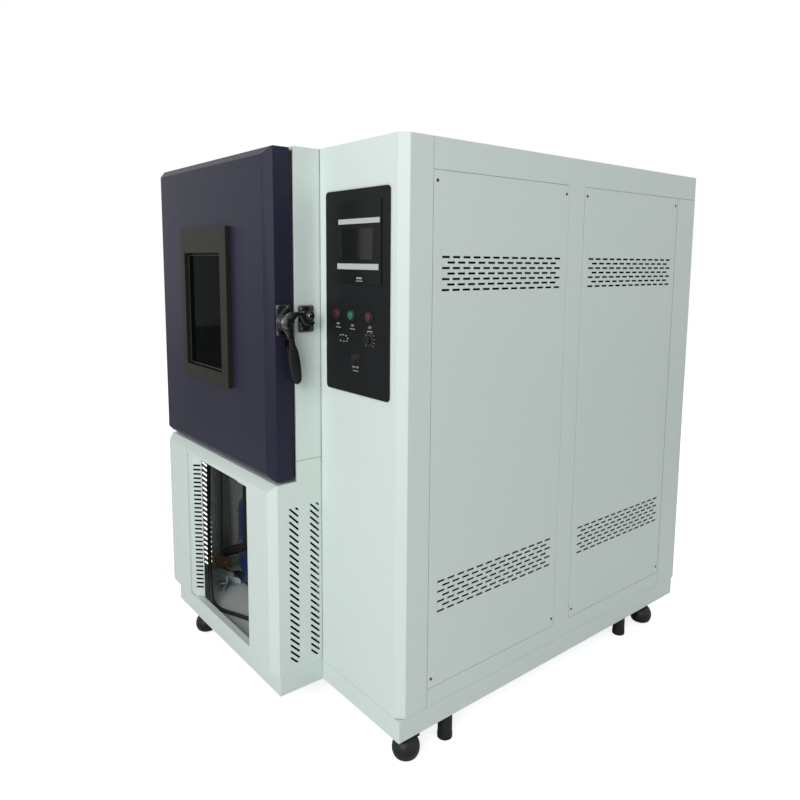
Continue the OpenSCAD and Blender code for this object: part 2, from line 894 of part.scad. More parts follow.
// Steel lever: pivot, arched arm with the nose under the roller, tang for the grip.
module latch_handle() {
    x = latch_x + face_clearance;
    saddle = keeper_z - latch_height - roller_radius - nose_clearance;
    gap = keeper_y - latch_y - roller_radius - nose_clearance;
    color("#86898b")
    place()
    translate([0, latch_y, latch_height])
    union() {
        rod_x([chamber_right + 5, x + 12], 0, 0, latch_pin_radius);
        rod_x([x, x + 8], 0, 0, 19);
        translate([x, 0, 0])
        rotate([90, 0, 90])
        linear_extrude(height = 8)
        polygon([[-19, 2], [-15, 13], [-2, 26], [10, 31], [38, 31.5], [gap - 5.7, 29],
            [gap - 0.7, 23], [gap + 0.1, 16], [gap + 2.4, 9.4], [gap + 8.2, saddle + 2.2],
            [gap + 16.3, saddle], [gap + 31, saddle], [gap + 33, 0], [gap + 30, -9],
            [gap + 22, -12], [gap - 1.7, -7], [gap - 9, 4], [gap - 13, 17], [36, 19], [26, 8],
            [20, -12], [17, -36], [16, -66], [4, -66], [2, -38], [-8, -24], [-16, -10]]);
    }
}

// Black hand grip that hangs from the lever.
module latch_grip() {
    x = latch_x + face_clearance;
    s = grip_length;
    color("#1b1c1d")
    place()
    translate([0, latch_y, latch_height - 40])
    difference() {
        translate([x - 4, 0, 0])
        rotate([90, 0, 90])
        linear_extrude(height = 18)
        polygon([[1, 0], [22, 0], [25, -0.15 * s], [34, -0.29 * s], [40, -0.48 * s],
            [44, -0.67 * s], [45.5, -0.82 * s], [45, -0.91 * s], [40, -0.975 * s],
            [30, -s], [21, -0.955 * s], [14, -0.88 * s], [10, -0.77 * s], [6, -0.59 * s],
            [3, -0.33 * s]]);
        box([x, x + 8], [0, 20], [-26, 1]);
    }
}

// Keeper plate on the cabinet's side with its raised blocks and the roller's axle.
module keeper() {
    low = keeper_z - 49;
    high = keeper_z + 29;
    color("#7a7e80")
    place()
    union() {
        translate([chamber_right, 0, 0])
        rotate([90, 0, 90])
        linear_extrude(height = 4) {
            translate([keeper_y - 23, low + 5]) square([52, high - low - 10]);
            translate([keeper_y - 18, low]) square([42, high - low]);
            for (y = [keeper_y - 18, keeper_y + 24])
                for (z = [low + 5, high - 5])
                    translate([y, z]) circle(r = 5);
        }
        box([chamber_right + 3, chamber_right + 9], [keeper_y - 19, keeper_y + 25],
            [high - 19, high - 2]);
        box([chamber_right + 3, chamber_right + 9], [keeper_y - 19, keeper_y + 25],
            [low + 3, low + 28]);
        box([chamber_right + 3, chamber_right + 17], [keeper_y - 14, keeper_y + 14],
            [keeper_z - 14, keeper_z + 14]);
        for (y = [keeper_y - 12, keeper_y + 18])
            for (z = [high - 10, low + 10])
                rod_x([chamber_right + 8, chamber_right + 10.5], y, z, 4);
        rod_x([chamber_right + 16, chamber_right + 38], keeper_y, keeper_z, keeper_pin_radius);
        rod_x([chamber_right + 35, chamber_right + 38], keeper_y, keeper_z,
            keeper_pin_radius + 3);
    }
}

// Roller on the keeper's axle.
module keeper_roller() {
    color("#3a3c3e")
    place()
    difference() {
        rod_x([chamber_right + 17 + seat_clearance, chamber_right + 35 - seat_clearance],
            keeper_y, keeper_z, roller_radius);
        rod_x([chamber_right + 10, chamber_right + 40], keeper_y, keeper_z,
            keeper_pin_radius + running_clearance);
    }
}

// Fixed hinge leaves with their pins.
module hinge_fixed() {
    half = hinge_length / 2;
    color("#8c9092")
    place()
    for (z = [hinge_low, hinge_high])
        translate([0, 0, z]) {
            rod_z(hinge_x, hinge_y, [0, half], hinge_radius);
            rod_z(hinge_x, hinge_y, [half - 1, hinge_length], hinge_pin_radius);
            box([hinge_x + 5, hinge_x + 10], [hinge_y, hinge_y + 30], [0, half]);
            box([hinge_x + 5, hinge_x + 10], [hinge_y + 14, hinge_y + 72], [0, hinge_length]);
            box([hinge_x + 9, chamber_left], [flange_back + 2, hinge_y + 72],
                [0, hinge_length]);
        }
}

// Door hinge leaves that turn on the pins.
module hinge_door() {
    half = hinge_length / 2;
    low = half + face_clearance;
    color("#8c9092")
    place()
    for (z = [hinge_low, hinge_high])
        translate([0, 0, z])
        difference() {
            union() {
                rod_z(hinge_x, hinge_y, [low, hinge_length], hinge_radius);
                box([hinge_x + 5, hinge_x + 10], [hinge_y - 30, hinge_y], [low, hinge_length]);
                box([hinge_x + 5, hinge_x + 10], [body_front + 1, hinge_y - 14],
                    [0, hinge_length]);
                box([hinge_x + 9, chamber_left], [body_front + 1, hinge_y - 14],
                    [0, hinge_length]);
            }
            rod_z(hinge_x, hinge_y, [0, hinge_length + 1],
                hinge_pin_radius + running_clearance);
        }
}

// Black plate of the control panel.
module control_plate() {
    high = plate_bottom + plate_height;
    color("#232527")
    place()
    difference() {
        union() {
            box([plate_left + 12, -plate_right - 12], [-plate_thick, 0], [plate_bottom, high]);
            box([plate_left, -plate_right], [-plate_thick, 0], [plate_bottom + 12, high - 12]);
            for (x = [plate_left + 12, -plate_right - 12])
                for (z = [plate_bottom + 12, high - 12])
                    rod_y(x, [-plate_thick, 0], z, 12);
        }
        for (x = buttons)
            rod_y(x, [-plate_thick - 1, 1], button_height, button_radius + running_clearance);
        rod_y(knob_x, [-plate_thick - 1, 1], knob_z, 4 + running_clearance);
        box([rocker_x - 13, rocker_x + 13], [-plate_thick - 1, 1], [rocker_z - 8, rocker_z + 8]);
        rod_z(rocker_x, -plate_thick / 2, [rocker_z - 11, rocker_z + 11],
            rocker_pin_radius + running_clearance);
    }
}

// Raised display panel round the touch screen.
module display_frame() {
    y = -plate_thick;
    color("#2a2c2e")
    place()
    difference() {
        box([-315, -83], [y - 3, y], [1264, 1492]);
        box([-276, -119], [y - 4, y - 1], [1332, 1417]);
    }
}

// Touch screen glass.
module touch_screen() {
    color("#3b3536")
    place()
    box([-276, -119], [-plate_thick - 3.6, -plate_thick - 1], [1332, 1417]);
}

// Rings round the buttons and the knob, and the frame round the rocker switch.
module control_bezels() {
    y = -plate_thick;
    color("#17191a")
    place() {
        for (x = buttons)
            difference() {
                rod_y(x, [y - 5, y], button_height, button_radius + 4);
                rod_y(x, [y - 6, y + 1], button_height, button_radius + running_clearance);
            }
        difference() {
            rod_y(knob_x, [y - 2, y], knob_z, knob_radius + 4);
            rod_y(knob_x, [y - 6, y + 1], knob_z, 4 + running_clearance);
        }
        difference() {
            box([rocker_x - 17, rocker_x + 17], [y - 2.5, y], [rocker_z - 11, rocker_z + 11]);
            box([rocker_x - 13, rocker_x + 13], [y - 4, y + 1], [rocker_z - 8, rocker_z + 8]);
        }
    }
}

// One push button cap with its stem.
module button(x) {
    place()
    rod_y(x, [-plate_thick - 5 - button_travel - 1, 6], button_height, button_radius);
}

// Left red button.
module red_button_left() {
    color("#8e1f24")
    button(buttons[0]);
}

// Green button.
module green_button() {
    color("#1f8f63")
    button(buttons[1]);
}

// Right red button.
module red_button_right() {
    color("#8e1f24")
    button(buttons[2]);
}

// Rocker of the power switch on its upright pivot pin.
module rocker() {
    color("#101112")
    place()
    translate([rocker_x, -plate_thick / 2, rocker_z]) {
        translate([0, 0, -7.5])
        rotate([0, 0, rocker_tilt])
        linear_extrude(height = 15)
        polygon([[-11.5, -6.5], [0, -4.5], [11.5, -6.5], [9, 4], [-9, 4]]);
        rod_z(0, 0, [-10, 10], rocker_pin_radius);
    }
}

// Small round setting knob with a stem through the plate.
module setting_knob() {
    y = -plate_thick - 2 - face_clearance;
    color("#202223")
    place()
    difference() {
        union() {
            rod_y(knob_x, [y - 10, y], knob_z, knob_radius);
            rod_y(knob_x, [y - 1, 6], knob_z, 4);
        }
        box([knob_x - 1, knob_x + 1], [y - 11, y - 9], [knob_z, knob_z + knob_radius + 1]);
    }
}

// Hermetic compressor on its foot plate and rubber mounts, with a dark cap on top.
module compressor_shell() {
    x = compressor[0];
    y = compressor[1];
    r = compressor_radius;
    color("#22366b")
    place()
    union() {
        rod_z(x, y, [168, 370], r);
        translate([x, y, 168]) sphere(r = r);
        translate([x, y, 370]) sphere(r = r);
        rod_z(x, y, [430, 480], 32);
        box([x - 95, x + 95], [y - 66, y + 72], [tray_top + 18, tray_top + 26]);
        rod_z(x, y, [tray_top + 20, tray_top + 60], 45);
        for (dx = [-80, 80])
            for (dy = [-50, 56])
                rod_z(x + dx, y + dy, [tray_top, tray_top + 20], 13);
        box([x + 60, x + 100], [y - 30, y + 30], [250, 320]);
    }
}

// Copper lines between compressor, condenser and chamber.
module copper_pipes() {
    x = compressor[0];
    y = compressor[1];
    deck = ledge - sheet - seat_clearance;
    color("#b5713f")
    place() {
        tube([[x, y, 480 + seat_clearance], [x, y, 560], [x, 690, 560], [-600, 700, 300],
            [-300, 700, 300], [-200, 820, 300], [condenser_x - 110, 820, 300]], 6, 30, 10);
        tube([[condenser_x - 110, 820, 200], [-200, 820, 200], [-300, 640, 200],
            [-600, 640, 200], [-900, 560, 200], [-1100, 580, 300], [-1100, 580, deck]],
            5, 26, 10);
    }
}

// Foam covered suction line to the compressor, and the drain hose lying on the tray.
module black_hoses() {
    x = compressor[0];
    y = compressor[1];
    deck = ledge - sheet - seat_clearance;
    color("#191a1a")
    place() {
        tube([[-860, -20, deck], [-860, -20, 300], [-925, -14, 259], [-1031, -12, 216],
            [-1080, -8, 183], [-1128, 20, 165], [-1128, y, 160],
            [x - compressor_radius - seat_clearance, y, 160]], 16, 50, 12);
        tube([[-1010, -95, deck], [-1010, -100, 520], [-1004, -105, 380],
            [-992, -112, 260], [-978, -118, 180], [-955, -126, 120], [-925, -132, 84],
            [-890, -132, hose_height], [-800, -95, hose_height], [-660, -40, hose_height],
            [-570, 60, hose_height], [-520, 300, hose_height], [-520, 800, hose_height],
            [-560, 1200, hose_height], [-560, cabinet_depth - sheet, hose_height]],
            6.5, 50, 8);
    }
}

// Galvanised sheet under and behind the insulation, carried by four posts.
module chamber_casing() {
    post_width = 20;
    color("#b9bfbf")
    place()
    difference() {
        union() {
            box([chamber_left + sheet, chamber_right - sheet], [flange_back, casing_back],
                [ledge - sheet, ledge]);
            box([chamber_left + sheet, chamber_right - sheet],
                [casing_back - sheet, casing_back], [ledge - sheet, top - sheet]);
            for (x = [chamber_left + sheet, chamber_right - sheet - post_width])
                for (y = [8, 540])
                    box([x, x + post_width], [y, y + 54], [tray_top, ledge - sheet / 2]);
        }
        rod_y(chamber_middle, [casing_back - 9, casing_back + 5], fan_z, 2 * shaft_radius);
    }
}

// Loose angle bracket on the tray and the tab behind the frame's upper right corner.
module brackets() {
    color("#cfd8d5")
    place() {
        translate([-1131, 0, tray_top])
        rotate([0, 0, 20])
        union() {
            box([-45, 45], [-14, 14], [0, 2]);
            box([-45, 45], [12, 14], [0, 19]);
            box([-45, -43], [-14, 14], [0, 19]);
        }
        box([-659, -590], [body_front, body_front + 3], [612, 655]);
    }
}

// Condenser block with its legs and the fan shroud.
module condenser() {
    y = [condenser_y - 230, condenser_y + 230];
    z = [vent_lower - 200, vent_lower + 200];
    color("#a7adb0")
    place()
    difference() {
        union() {
            box([condenser_x - 60, condenser_x], y, z);
            box([condenser_x - 110, condenser_x - 50], y, z);
            for (leg = [condenser_y - 220, condenser_y + 200])
                box([condenser_x - 60, condenser_x - 40], [leg, leg + 20], [tray_top, z[0] + 1]);
        }
        rod_x([condenser_x - 120, condenser_x - 60], condenser_y, vent_lower, 170);
    }
}

// Condenser fan with its shaft.
module condenser_fan() {
    color("#2d3032")
    place()
    union() {
        rod_x([condenser_x - 105, condenser_x - 75], condenser_y, vent_lower, 35);
        rod_x([condenser_x - 220, condenser_x - 80], condenser_y, vent_lower, shaft_radius);
        for (i = [0:4])
            translate([condenser_x - 90, condenser_y, vent_lower])
            rotate([i * 72, 0, 0])
            translate([0, 0, 95])
            rotate([0, 0, 35])
            cube([3, 70, 130], center = true);
    }
}

// Plates and kingpins of the four casters.
module caster_plates() {
    color("#7d8183")
    place()
    for (c = [[caster_x[0], caster_y[0]], [caster_x[0], caster_y[1]],
            [caster_front_left[0], caster_front_left[1]], [caster_x[1], caster_y[1]]])
        translate([c[0], c[1], 0]) {
            box([-28, 28], [-38, 38], [rail_bottom - 4, rail_bottom]);
            rod_z(0, 0, [-3, rail_bottom - 3], kingpin_radius);
            rod_z(0, 0, [-6, -1 - seat_clearance], kingpin_radius + 3);
        }
}

// Round hood of one caster with neck, swivel disc and axle, turned about the kingpin.
module fork(x, y, turn) {
    z = axle_z;
    inner = wheel_radius + 1.2;
    half = wheel_width / 2 + 1;
    outer = sqrt(inner * inner + half * half) + hood_wall;
    color("#2a2c2d")
    place()
    translate([x, y, 0])
    rotate([0, 0, turn])
    union() {
        difference() {
            union() {
                rod_z(0, 0, [-1, rail_bottom - 4 - seat_clearance], 24);
                translate([0, -caster_trail, z]) sphere(r = outer);
                box([-12, 12], [-caster_trail, 18], [-30, 0]);
            }
            rod_x([-half, half], -caster_trail, z, inner);
            box([-60, 60], [-caster_trail - 60, -caster_trail + 60], [z - 60, z - 24]);
            rod_z(0, 0, [-20, 20], kingpin_radius + running_clearance);
            rod_z(0, 0, [-20, -1], kingpin_radius + 3 + face_clearance);
        }
        rod_x([-half - 1, half + 1], -caster_trail, z, axle_radius);
    }
}

// Front right fork.
module fork_front_right() {
    fork(caster_x[0], caster_y[0], 0);
}

// Rear right fork.
module fork_rear_right() {
    fork(caster_x[0], caster_y[1], 180);
}

// Front left fork.
module fork_front_left() {
    fork(caster_front_left[0], caster_front_left[1], 0);
}

// Rear left fork.
module fork_rear_left() {
    fork(caster_x[1], caster_y[1], 180);
}

// One caster wheel with a recess on each side.
module wheel(x, y, turn) {
    half = wheel_width / 2;
    color("#141515")
    place()
    translate([x, y, axle_z])
    rotate([0, 0, turn])
    translate([0, -caster_trail, 0])
    difference() {
        rod_x([-half, half], 0, 0, wheel_radius);
        rod_x([-half - 1, half + 1], 0, 0, axle_radius + running_clearance);
        for (side = [-1, 1])
            difference() {
                rod_x([side * half - 3, side * half + 3], 0, 0, wheel_radius - 8);
                rod_x([side * half - 4, side * half + 4], 0, 0, 12);
            }
    }
}

// Front right wheel.
module wheel_front_right() {
    wheel(caster_x[0], caster_y[0], 0);
}

// Rear right wheel.
module wheel_rear_right() {
    wheel(caster_x[0], caster_y[1], 180);
}

// Front left wheel.
module wheel_front_left() {
    wheel(caster_front_left[0], caster_front_left[1], 0);
}

// Rear left wheel.
module wheel_rear_left() {
    wheel(caster_x[1], caster_y[1], 180);
}

// Four levelling feet with stud, jam nut and upper nut.
module levelling_feet() {
    color("#232425")
    place()
    for (p = foot_places)
        translate([p[0], p[1], 0]) {
            rod_z(0, 0, [-plinth_gap, rail_bottom - 8], foot_radius);
            rod_z(0, 0, [rail_bottom - 9, rail_bottom], 10);
            rod_z(0, 0, [rail_bottom - 1, rail_bottom + rail_thick + 16], foot_stud_radius);
            rod_z(0, 0, [rail_bottom + rail_thick, rail_bottom + rail_thick + 10], 10);
        }
}

plinth();
base_tray();
left_side_panel();
right_lower_panel();
right_upper_panel();
top_cover();
lower_front_frame();
vent_strip();
control_front();
side_frame();
access_panel_front();
access_panel_rear();
back_panel();
inner_partition();
panel_screws();
liner();
insulation();
door_gasket();
shelf_rails();
shelves();
air_baffle();
fan_impeller();
fan_motors();
door_shell();
door_inner();
window_frame();
window_glass();
latch_base();
latch_handle();
latch_grip();
keeper();
keeper_roller();
hinge_fixed();
hinge_door();
control_plate();
display_frame();
touch_screen();
control_bezels();
red_button_left();
green_button();
red_button_right();
rocker();
setting_knob();
compressor_shell();
copper_pipes();
black_hoses();
chamber_casing();
brackets();
condenser();
condenser_fan();
caster_plates();
fork_front_right();
fork_rear_right();
fork_front_left();
fork_rear_left();
wheel_front_right();
wheel_rear_right();
wheel_front_left();
wheel_rear_left();
levelling_feet();
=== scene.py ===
import json
import math
import bmesh
import bpy
from mathutils import Matrix, Vector


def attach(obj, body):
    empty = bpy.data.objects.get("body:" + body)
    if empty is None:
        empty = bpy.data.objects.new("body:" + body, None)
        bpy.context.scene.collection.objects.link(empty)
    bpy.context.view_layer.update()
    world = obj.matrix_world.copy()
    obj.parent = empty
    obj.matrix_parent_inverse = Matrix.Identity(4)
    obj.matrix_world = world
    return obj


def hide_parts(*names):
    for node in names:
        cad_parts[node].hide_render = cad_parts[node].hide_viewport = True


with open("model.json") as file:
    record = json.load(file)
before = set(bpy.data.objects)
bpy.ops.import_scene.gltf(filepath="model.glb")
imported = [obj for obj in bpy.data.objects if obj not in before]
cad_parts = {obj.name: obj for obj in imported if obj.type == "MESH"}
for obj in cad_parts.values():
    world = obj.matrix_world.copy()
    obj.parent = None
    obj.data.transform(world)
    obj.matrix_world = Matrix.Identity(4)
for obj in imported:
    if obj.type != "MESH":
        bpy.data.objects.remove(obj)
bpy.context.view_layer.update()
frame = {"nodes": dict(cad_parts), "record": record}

nodes = frame["nodes"]


# The part's origin lies on the floor under the middle of the cabinet. Sizes below count in
# millimetres from the front right corner of the control cabinet's plinth, as in the drawing.
corner = Vector((0.61475, -0.617, 0.085))


def at(x, y, z):
    return Vector((x / 1000, y / 1000, z / 1000)) + corner


# Camera. It stands to the right of the front and a little under the cabinet's top, and its
# centre lies above the middle of the picture, so the lens is shifted down.
azimuth, elevation, roll = (math.radians(a) for a in (50.57, 7.09, 0.51))
look_back = Vector((math.sin(azimuth) * math.cos(elevation),
                    -math.cos(azimuth) * math.cos(elevation), math.sin(elevation)))
level = Vector((0, 0, 1)).cross(look_back).normalized()
upward = look_back.cross(level)
side = math.cos(roll) * level + math.sin(roll) * upward
upward = math.cos(roll) * upward - math.sin(roll) * level
picture_width, focal_pixels = 800, 688.1
centre_right, centre_up = 6.3, 53.6
lens = bpy.data.cameras.new("camera")
lens.sensor_width = 36
lens.lens = 36 * focal_pixels / picture_width
lens.shift_x = -centre_right / picture_width
lens.shift_y = -centre_up / picture_width
lens.clip_end = 50
camera = bpy.data.objects.new("camera", lens)
bpy.context.scene.collection.objects.link(camera)
place = at(1363, -1107, 1330)
camera.matrix_world = Matrix((
    (side.x, upward.x, look_back.x, place.x),
    (side.y, upward.y, look_back.y, place.y),
    (side.z, upward.z, look_back.z, place.z),
    (0, 0, 0, 1)))
bpy.context.scene.camera = camera


# Studio. A pale floor that keeps the cabinet's shadow, a white surround for camera, gloss
# and glass, and four large soft lamps at a plain level.
bpy.context.scene.view_settings.view_transform = "Standard"
world = bpy.data.worlds.new("studio")
world.use_nodes = True
bpy.context.scene.world = world
tree = world.node_tree
tree.nodes.clear()
out = tree.nodes.new("ShaderNodeOutputWorld")
rays = tree.nodes.new("ShaderNodeLightPath")
sky = tree.nodes.new("ShaderNodeBackground")
sky.inputs["Color"].default_value = (1, 1, 1, 1)
strength = 0.27
for kind in ("Is Camera Ray", "Is Glossy Ray", "Is Transmission Ray"):
    larger = tree.nodes.new("ShaderNodeMath")
    larger.operation = "MAXIMUM"
    tree.links.new(rays.outputs[kind], larger.inputs[0])
    if isinstance(strength, float):
        larger.inputs[1].default_value = strength
    else:
        tree.links.new(strength, larger.inputs[1])
    strength = larger.outputs[0]
tree.links.new(strength, sky.inputs["Strength"])
tree.links.new(sky.outputs[0], out.inputs["Surface"])

floor_mesh = bpy.data.meshes.new("studio_floor")
floor_mesh.from_pydata([(-12, -12, 0), (12, -12, 0), (12, 12, 0), (-12, 12, 0)], [], [(0, 1, 2, 3)])
floor = bpy.data.objects.new("studio_floor", floor_mesh)
bpy.context.scene.collection.objects.link(floor)
floor_paint = bpy.data.materials.new("studio_floor_paint")
floor_paint.use_nodes = True
tree = floor_paint.node_tree
coat = tree.nodes["Principled BSDF"]
coat.inputs["Base Color"].default_value = (0.9, 0.9, 0.9, 1)
coat.inputs["Roughness"].default_value = 0.9
coat.inputs["Specular IOR Level"].default_value = 0.1
rays = tree.nodes.new("ShaderNodeLightPath")
glow = tree.nodes.new("ShaderNodeMath")
glow.operation = "MULTIPLY"
glow.inputs[1].default_value = 0.75
tree.links.new(rays.outputs["Is Camera Ray"], glow.inputs[0])
coat.inputs["Emission Color"].default_value = (1, 1, 1, 1)
tree.links.new(glow.outputs[0], coat.inputs["Emission Strength"])
floor_mesh.materials.append(floor_paint)

for name, spot, aim, size, power in (
        ("key_lamp", (2.3, -4.6, 3.0), (0.0, -0.4, 0.8), 3.0, 158),
        ("side_lamp", (4.6, 1.6, 2.4), (0.4, 0.3, 0.8), 3.0, 13),
        ("top_lamp", (0.4, 0.2, 5.2), (0.0, 0.0, 0.5), 3.5, 26),
        ("back_lamp", (-3.4, 4.2, 3.0), (0.0, 0.3, 0.8), 3.0, 105)):
    lamp = bpy.data.lights.new(name, "AREA")
    lamp.size = size
    lamp.energy = power
    lamp_object = bpy.data.objects.new(name, lamp)
    lamp_object.location = spot
    lamp_object.rotation_euler = (Vector(aim) - Vector(spot)).to_track_quat("-Z", "Y").to_euler()
    bpy.context.scene.collection.objects.link(lamp_object)


# Castors under the plinth. Each is a black nylon wheel in a round hood that swivels on a
# zinc plated kingpin, and four bolts hold its plate to the rail.
def value(group, operation, first, second=None, third=None, clamp=False):
    node = group.nodes.new("ShaderNodeMath")
    node.operation = operation
    node.use_clamp = clamp
    for socket, given in zip(node.inputs, (first, second, third)):
        if isinstance(given, (int, float)):
            socket.default_value = given
        elif given is not None:
            group.links.new(given, socket)
    return node.outputs[0]


def noise(group, scale, detail=3.0, stretch=None):
    node = group.nodes.new("ShaderNodeTexNoise")
    node.inputs["Scale"].default_value = scale
    node.inputs["Detail"].default_value = detail
    source = group.nodes.new("ShaderNodeTexCoord").outputs["Object"]
    if stretch:
        drawn = group.nodes.new("ShaderNodeMapping")
        drawn.inputs["Scale"].default_value = stretch
        group.links.new(source, drawn.inputs["Vector"])
        source = drawn.outputs[0]
    group.links.new(source, node.inputs["Vector"])
    return node.outputs["Fac"]


def blend_colour(group, factor, first, second):
    node = group.nodes.new("ShaderNodeMix")
    node.data_type = "RGBA"
    for socket, given in ((node.inputs["Factor"], factor), (node.inputs["A"], first),
                          (node.inputs["B"], second)):
        if isinstance(given, tuple):
            socket.default_value = (*given, 1)[:4]
        elif isinstance(given, (int, float)):
            socket.default_value = given
        else:
            group.links.new(given, socket)
    return node.outputs["Result"]


# Masks for dusting that settles in corners, also used as painted shade in seams; for bright scuffs along
# edges, also used as painted glints on chrome; and for a slow drift of the colour.
grime_shade_and_glint = bpy.data.node_groups.new("dust_shade_wear_and_glint", "ShaderNodeTree")
for name, start in (("Dust reach", 0.03), ("Edge width", 0.002), ("Break-up scale", 30.0)):
    grime_shade_and_glint.interface.new_socket(name, in_out="INPUT", socket_type="NodeSocketFloat").default_value = start
for name in ("Dust_and_shade", "Edge", "Drift"):
    grime_shade_and_glint.interface.new_socket(name, in_out="OUTPUT", socket_type="NodeSocketFloat")
given = grime_shade_and_glint.nodes.new("NodeGroupInput").outputs
result = grime_shade_and_glint.nodes.new("NodeGroupOutput").inputs
corners = grime_shade_and_glint.nodes.new("ShaderNodeAmbientOcclusion")
corners.samples = 6
grime_shade_and_glint.links.new(given["Dust reach"], corners.inputs["Distance"])
spots = grime_shade_and_glint.nodes.new("ShaderNodeTexNoise")
spots.inputs["Detail"].default_value = 5
grime_shade_and_glint.links.new(given["Break-up scale"], spots.inputs["Scale"])
grime_shade_and_glint.links.new(grime_shade_and_glint.nodes.new("ShaderNodeTexCoord").outputs["Object"], spots.inputs["Vector"])
closed = value(grime_shade_and_glint, "SUBTRACT", 1.0, corners.outputs["AO"])
patchy = value(grime_shade_and_glint, "MULTIPLY_ADD", spots.outputs["Fac"], 1.4, 0.1)
dust_and_shade = value(grime_shade_and_glint, "MULTIPLY", closed, patchy, clamp=True)
grime_shade_and_glint.links.new(dust_and_shade, result["Dust_and_shade"])
rounded = grime_shade_and_glint.nodes.new("ShaderNodeBevel")
rounded.samples = 4
grime_shade_and_glint.links.new(given["Edge width"], rounded.inputs["Radius"])
face = grime_shade_and_glint.nodes.new("ShaderNodeNewGeometry")
turned_away = grime_shade_and_glint.nodes.new("ShaderNodeVectorMath")
turned_away.operation = "DOT_PRODUCT"
grime_shade_and_glint.links.new(rounded.outputs["Normal"], turned_away.inputs[0])
grime_shade_and_glint.links.new(face.outputs["True Normal"], turned_away.inputs[1])
edge = value(grime_shade_and_glint, "MULTIPLY", value(grime_shade_and_glint, "SUBTRACT", 1.0, turned_away.outputs["Value"]), 6.0, clamp=True)
grime_shade_and_glint.links.new(value(grime_shade_and_glint, "MULTIPLY", edge, spots.outputs["Fac"]), result["Edge"])
grime_shade_and_glint.links.new(noise(grime_shade_and_glint, 2.2, 3), result["Drift"])


def finish(name, colour, roughness, metallic=0.0, drift=0.06, dust_and_shade=(0.45, 0.42, 0.36), dirt_and_shade=0.35,
           worn_and_glint_colour=None, wear_and_glint=0.5, grain=0.0, grain_scale=900.0, spread=0.08, edge=0.0015,
           reach=0.03, coat=0.0, gloss=0.5, drawn=None):
    paint = bpy.data.materials.new(name)
    paint.use_nodes = True
    tree = paint.node_tree
    shader = tree.nodes["Principled BSDF"]
    masks = tree.nodes.new("ShaderNodeGroup")
    masks.node_tree = grime_shade_and_glint
    masks.inputs["Dust reach"].default_value = reach
    masks.inputs["Edge width"].default_value = edge
    dark = tuple(c * (1 - drift) for c in colour)
    light = tuple(min(1, c * (1 + drift * 0.5)) for c in colour)
    tone = blend_colour(tree, masks.outputs["Drift"], dark, light)
    # Pale edge colour: real scuffs, and painted highlight where a chrome sets it strong.
    if worn_and_glint_colour is not None:
        rubbed_and_glinting = value(tree, "MULTIPLY", masks.outputs["Edge"], wear_and_glint, clamp=True)
        tone = blend_colour(tree, rubbed_and_glinting, tone, worn_and_glint_colour)
    # Colour in corners and seams: dusting, and painted shade where the colour is dark.
    settled_dust_and_shade = value(tree, "MULTIPLY", masks.outputs["Dust_and_shade"], dirt_and_shade, clamp=True)
    tone = blend_colour(tree, settled_dust_and_shade, tone, dust_and_shade)
    tree.links.new(tone, shader.inputs["Base Color"])
    speckle = noise(tree, grain_scale, 2, drawn)
    rough = value(tree, "MULTIPLY_ADD", speckle, spread, roughness - spread / 2)
    rough = value(tree, "MULTIPLY_ADD", masks.outputs["Dust_and_shade"], 0.25 * dirt_and_shade, rough, clamp=True)
    tree.links.new(rough, shader.inputs["Roughness"])
    shader.inputs["Metallic"].default_value = metallic
    shader.inputs["Coat Weight"].default_value = coat
    shader.inputs["Specular IOR Level"].default_value = gloss
    if grain:
        bump = tree.nodes.new("ShaderNodeBump")
        bump.inputs["Strength"].default_value = grain
        bump.inputs["Distance"].default_value = 0.0006
        tree.links.new(speckle, bump.inputs["Height"])
        tree.links.new(bump.outputs["Normal"], shader.inputs["Normal"])
    return paint


rows = {row["node"]: row["material_slot"] for row in frame["record"]["subparts"]}
rides_on = {name: body for body, names in frame["record"]["behaviour"]["bodies"].items()
            for name in names}


def piece(name, shape, paint, body, angle=35, replaced=(), slot=None, closed=True):
    if closed:
        bmesh.ops.recalc_face_normals(shape, faces=shape.faces)
    mesh = bpy.data.meshes.new(name)
    shape.to_mesh(mesh)
    shape.free()
    mesh.materials.append(paint)
    mesh.shade_smooth()
    mesh.set_sharp_from_angle(angle=math.radians(angle))
    thing = bpy.data.objects.new(name, mesh)
    bpy.context.scene.collection.objects.link(thing)
    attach(thing, body)
    if replaced:
        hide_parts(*replaced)
        slot = slot or rows[replaced[0]]
    return thing


# A merged copy of a drawn solid with its edges rounded and its round faces smooth.
def rounded_copy(name, node, paint, soft, cuts=2, sharp=40, angle=35):
    shape = bmesh.new()
    shape.from_mesh(nodes[node].data)
    bmesh.ops.remove_doubles(shape, verts=shape.verts, dist=1e-5)
    bmesh.ops.dissolve_limit(shape, angle_limit=math.radians(0.5), verts=shape.verts, edges=shape.edges)
    rims = [e for e in shape.edges if len(e.link_faces) == 2
            and e.calc_face_angle(0) > math.radians(sharp)]
    bmesh.ops.bevel(shape, geom=rims, offset=soft / 1000, segments=cuts, profile=0.5,
                    affect="EDGES", clamp_overlap=False)
    piece(name, shape, paint, rides_on[node], angle, (node,), closed=False)


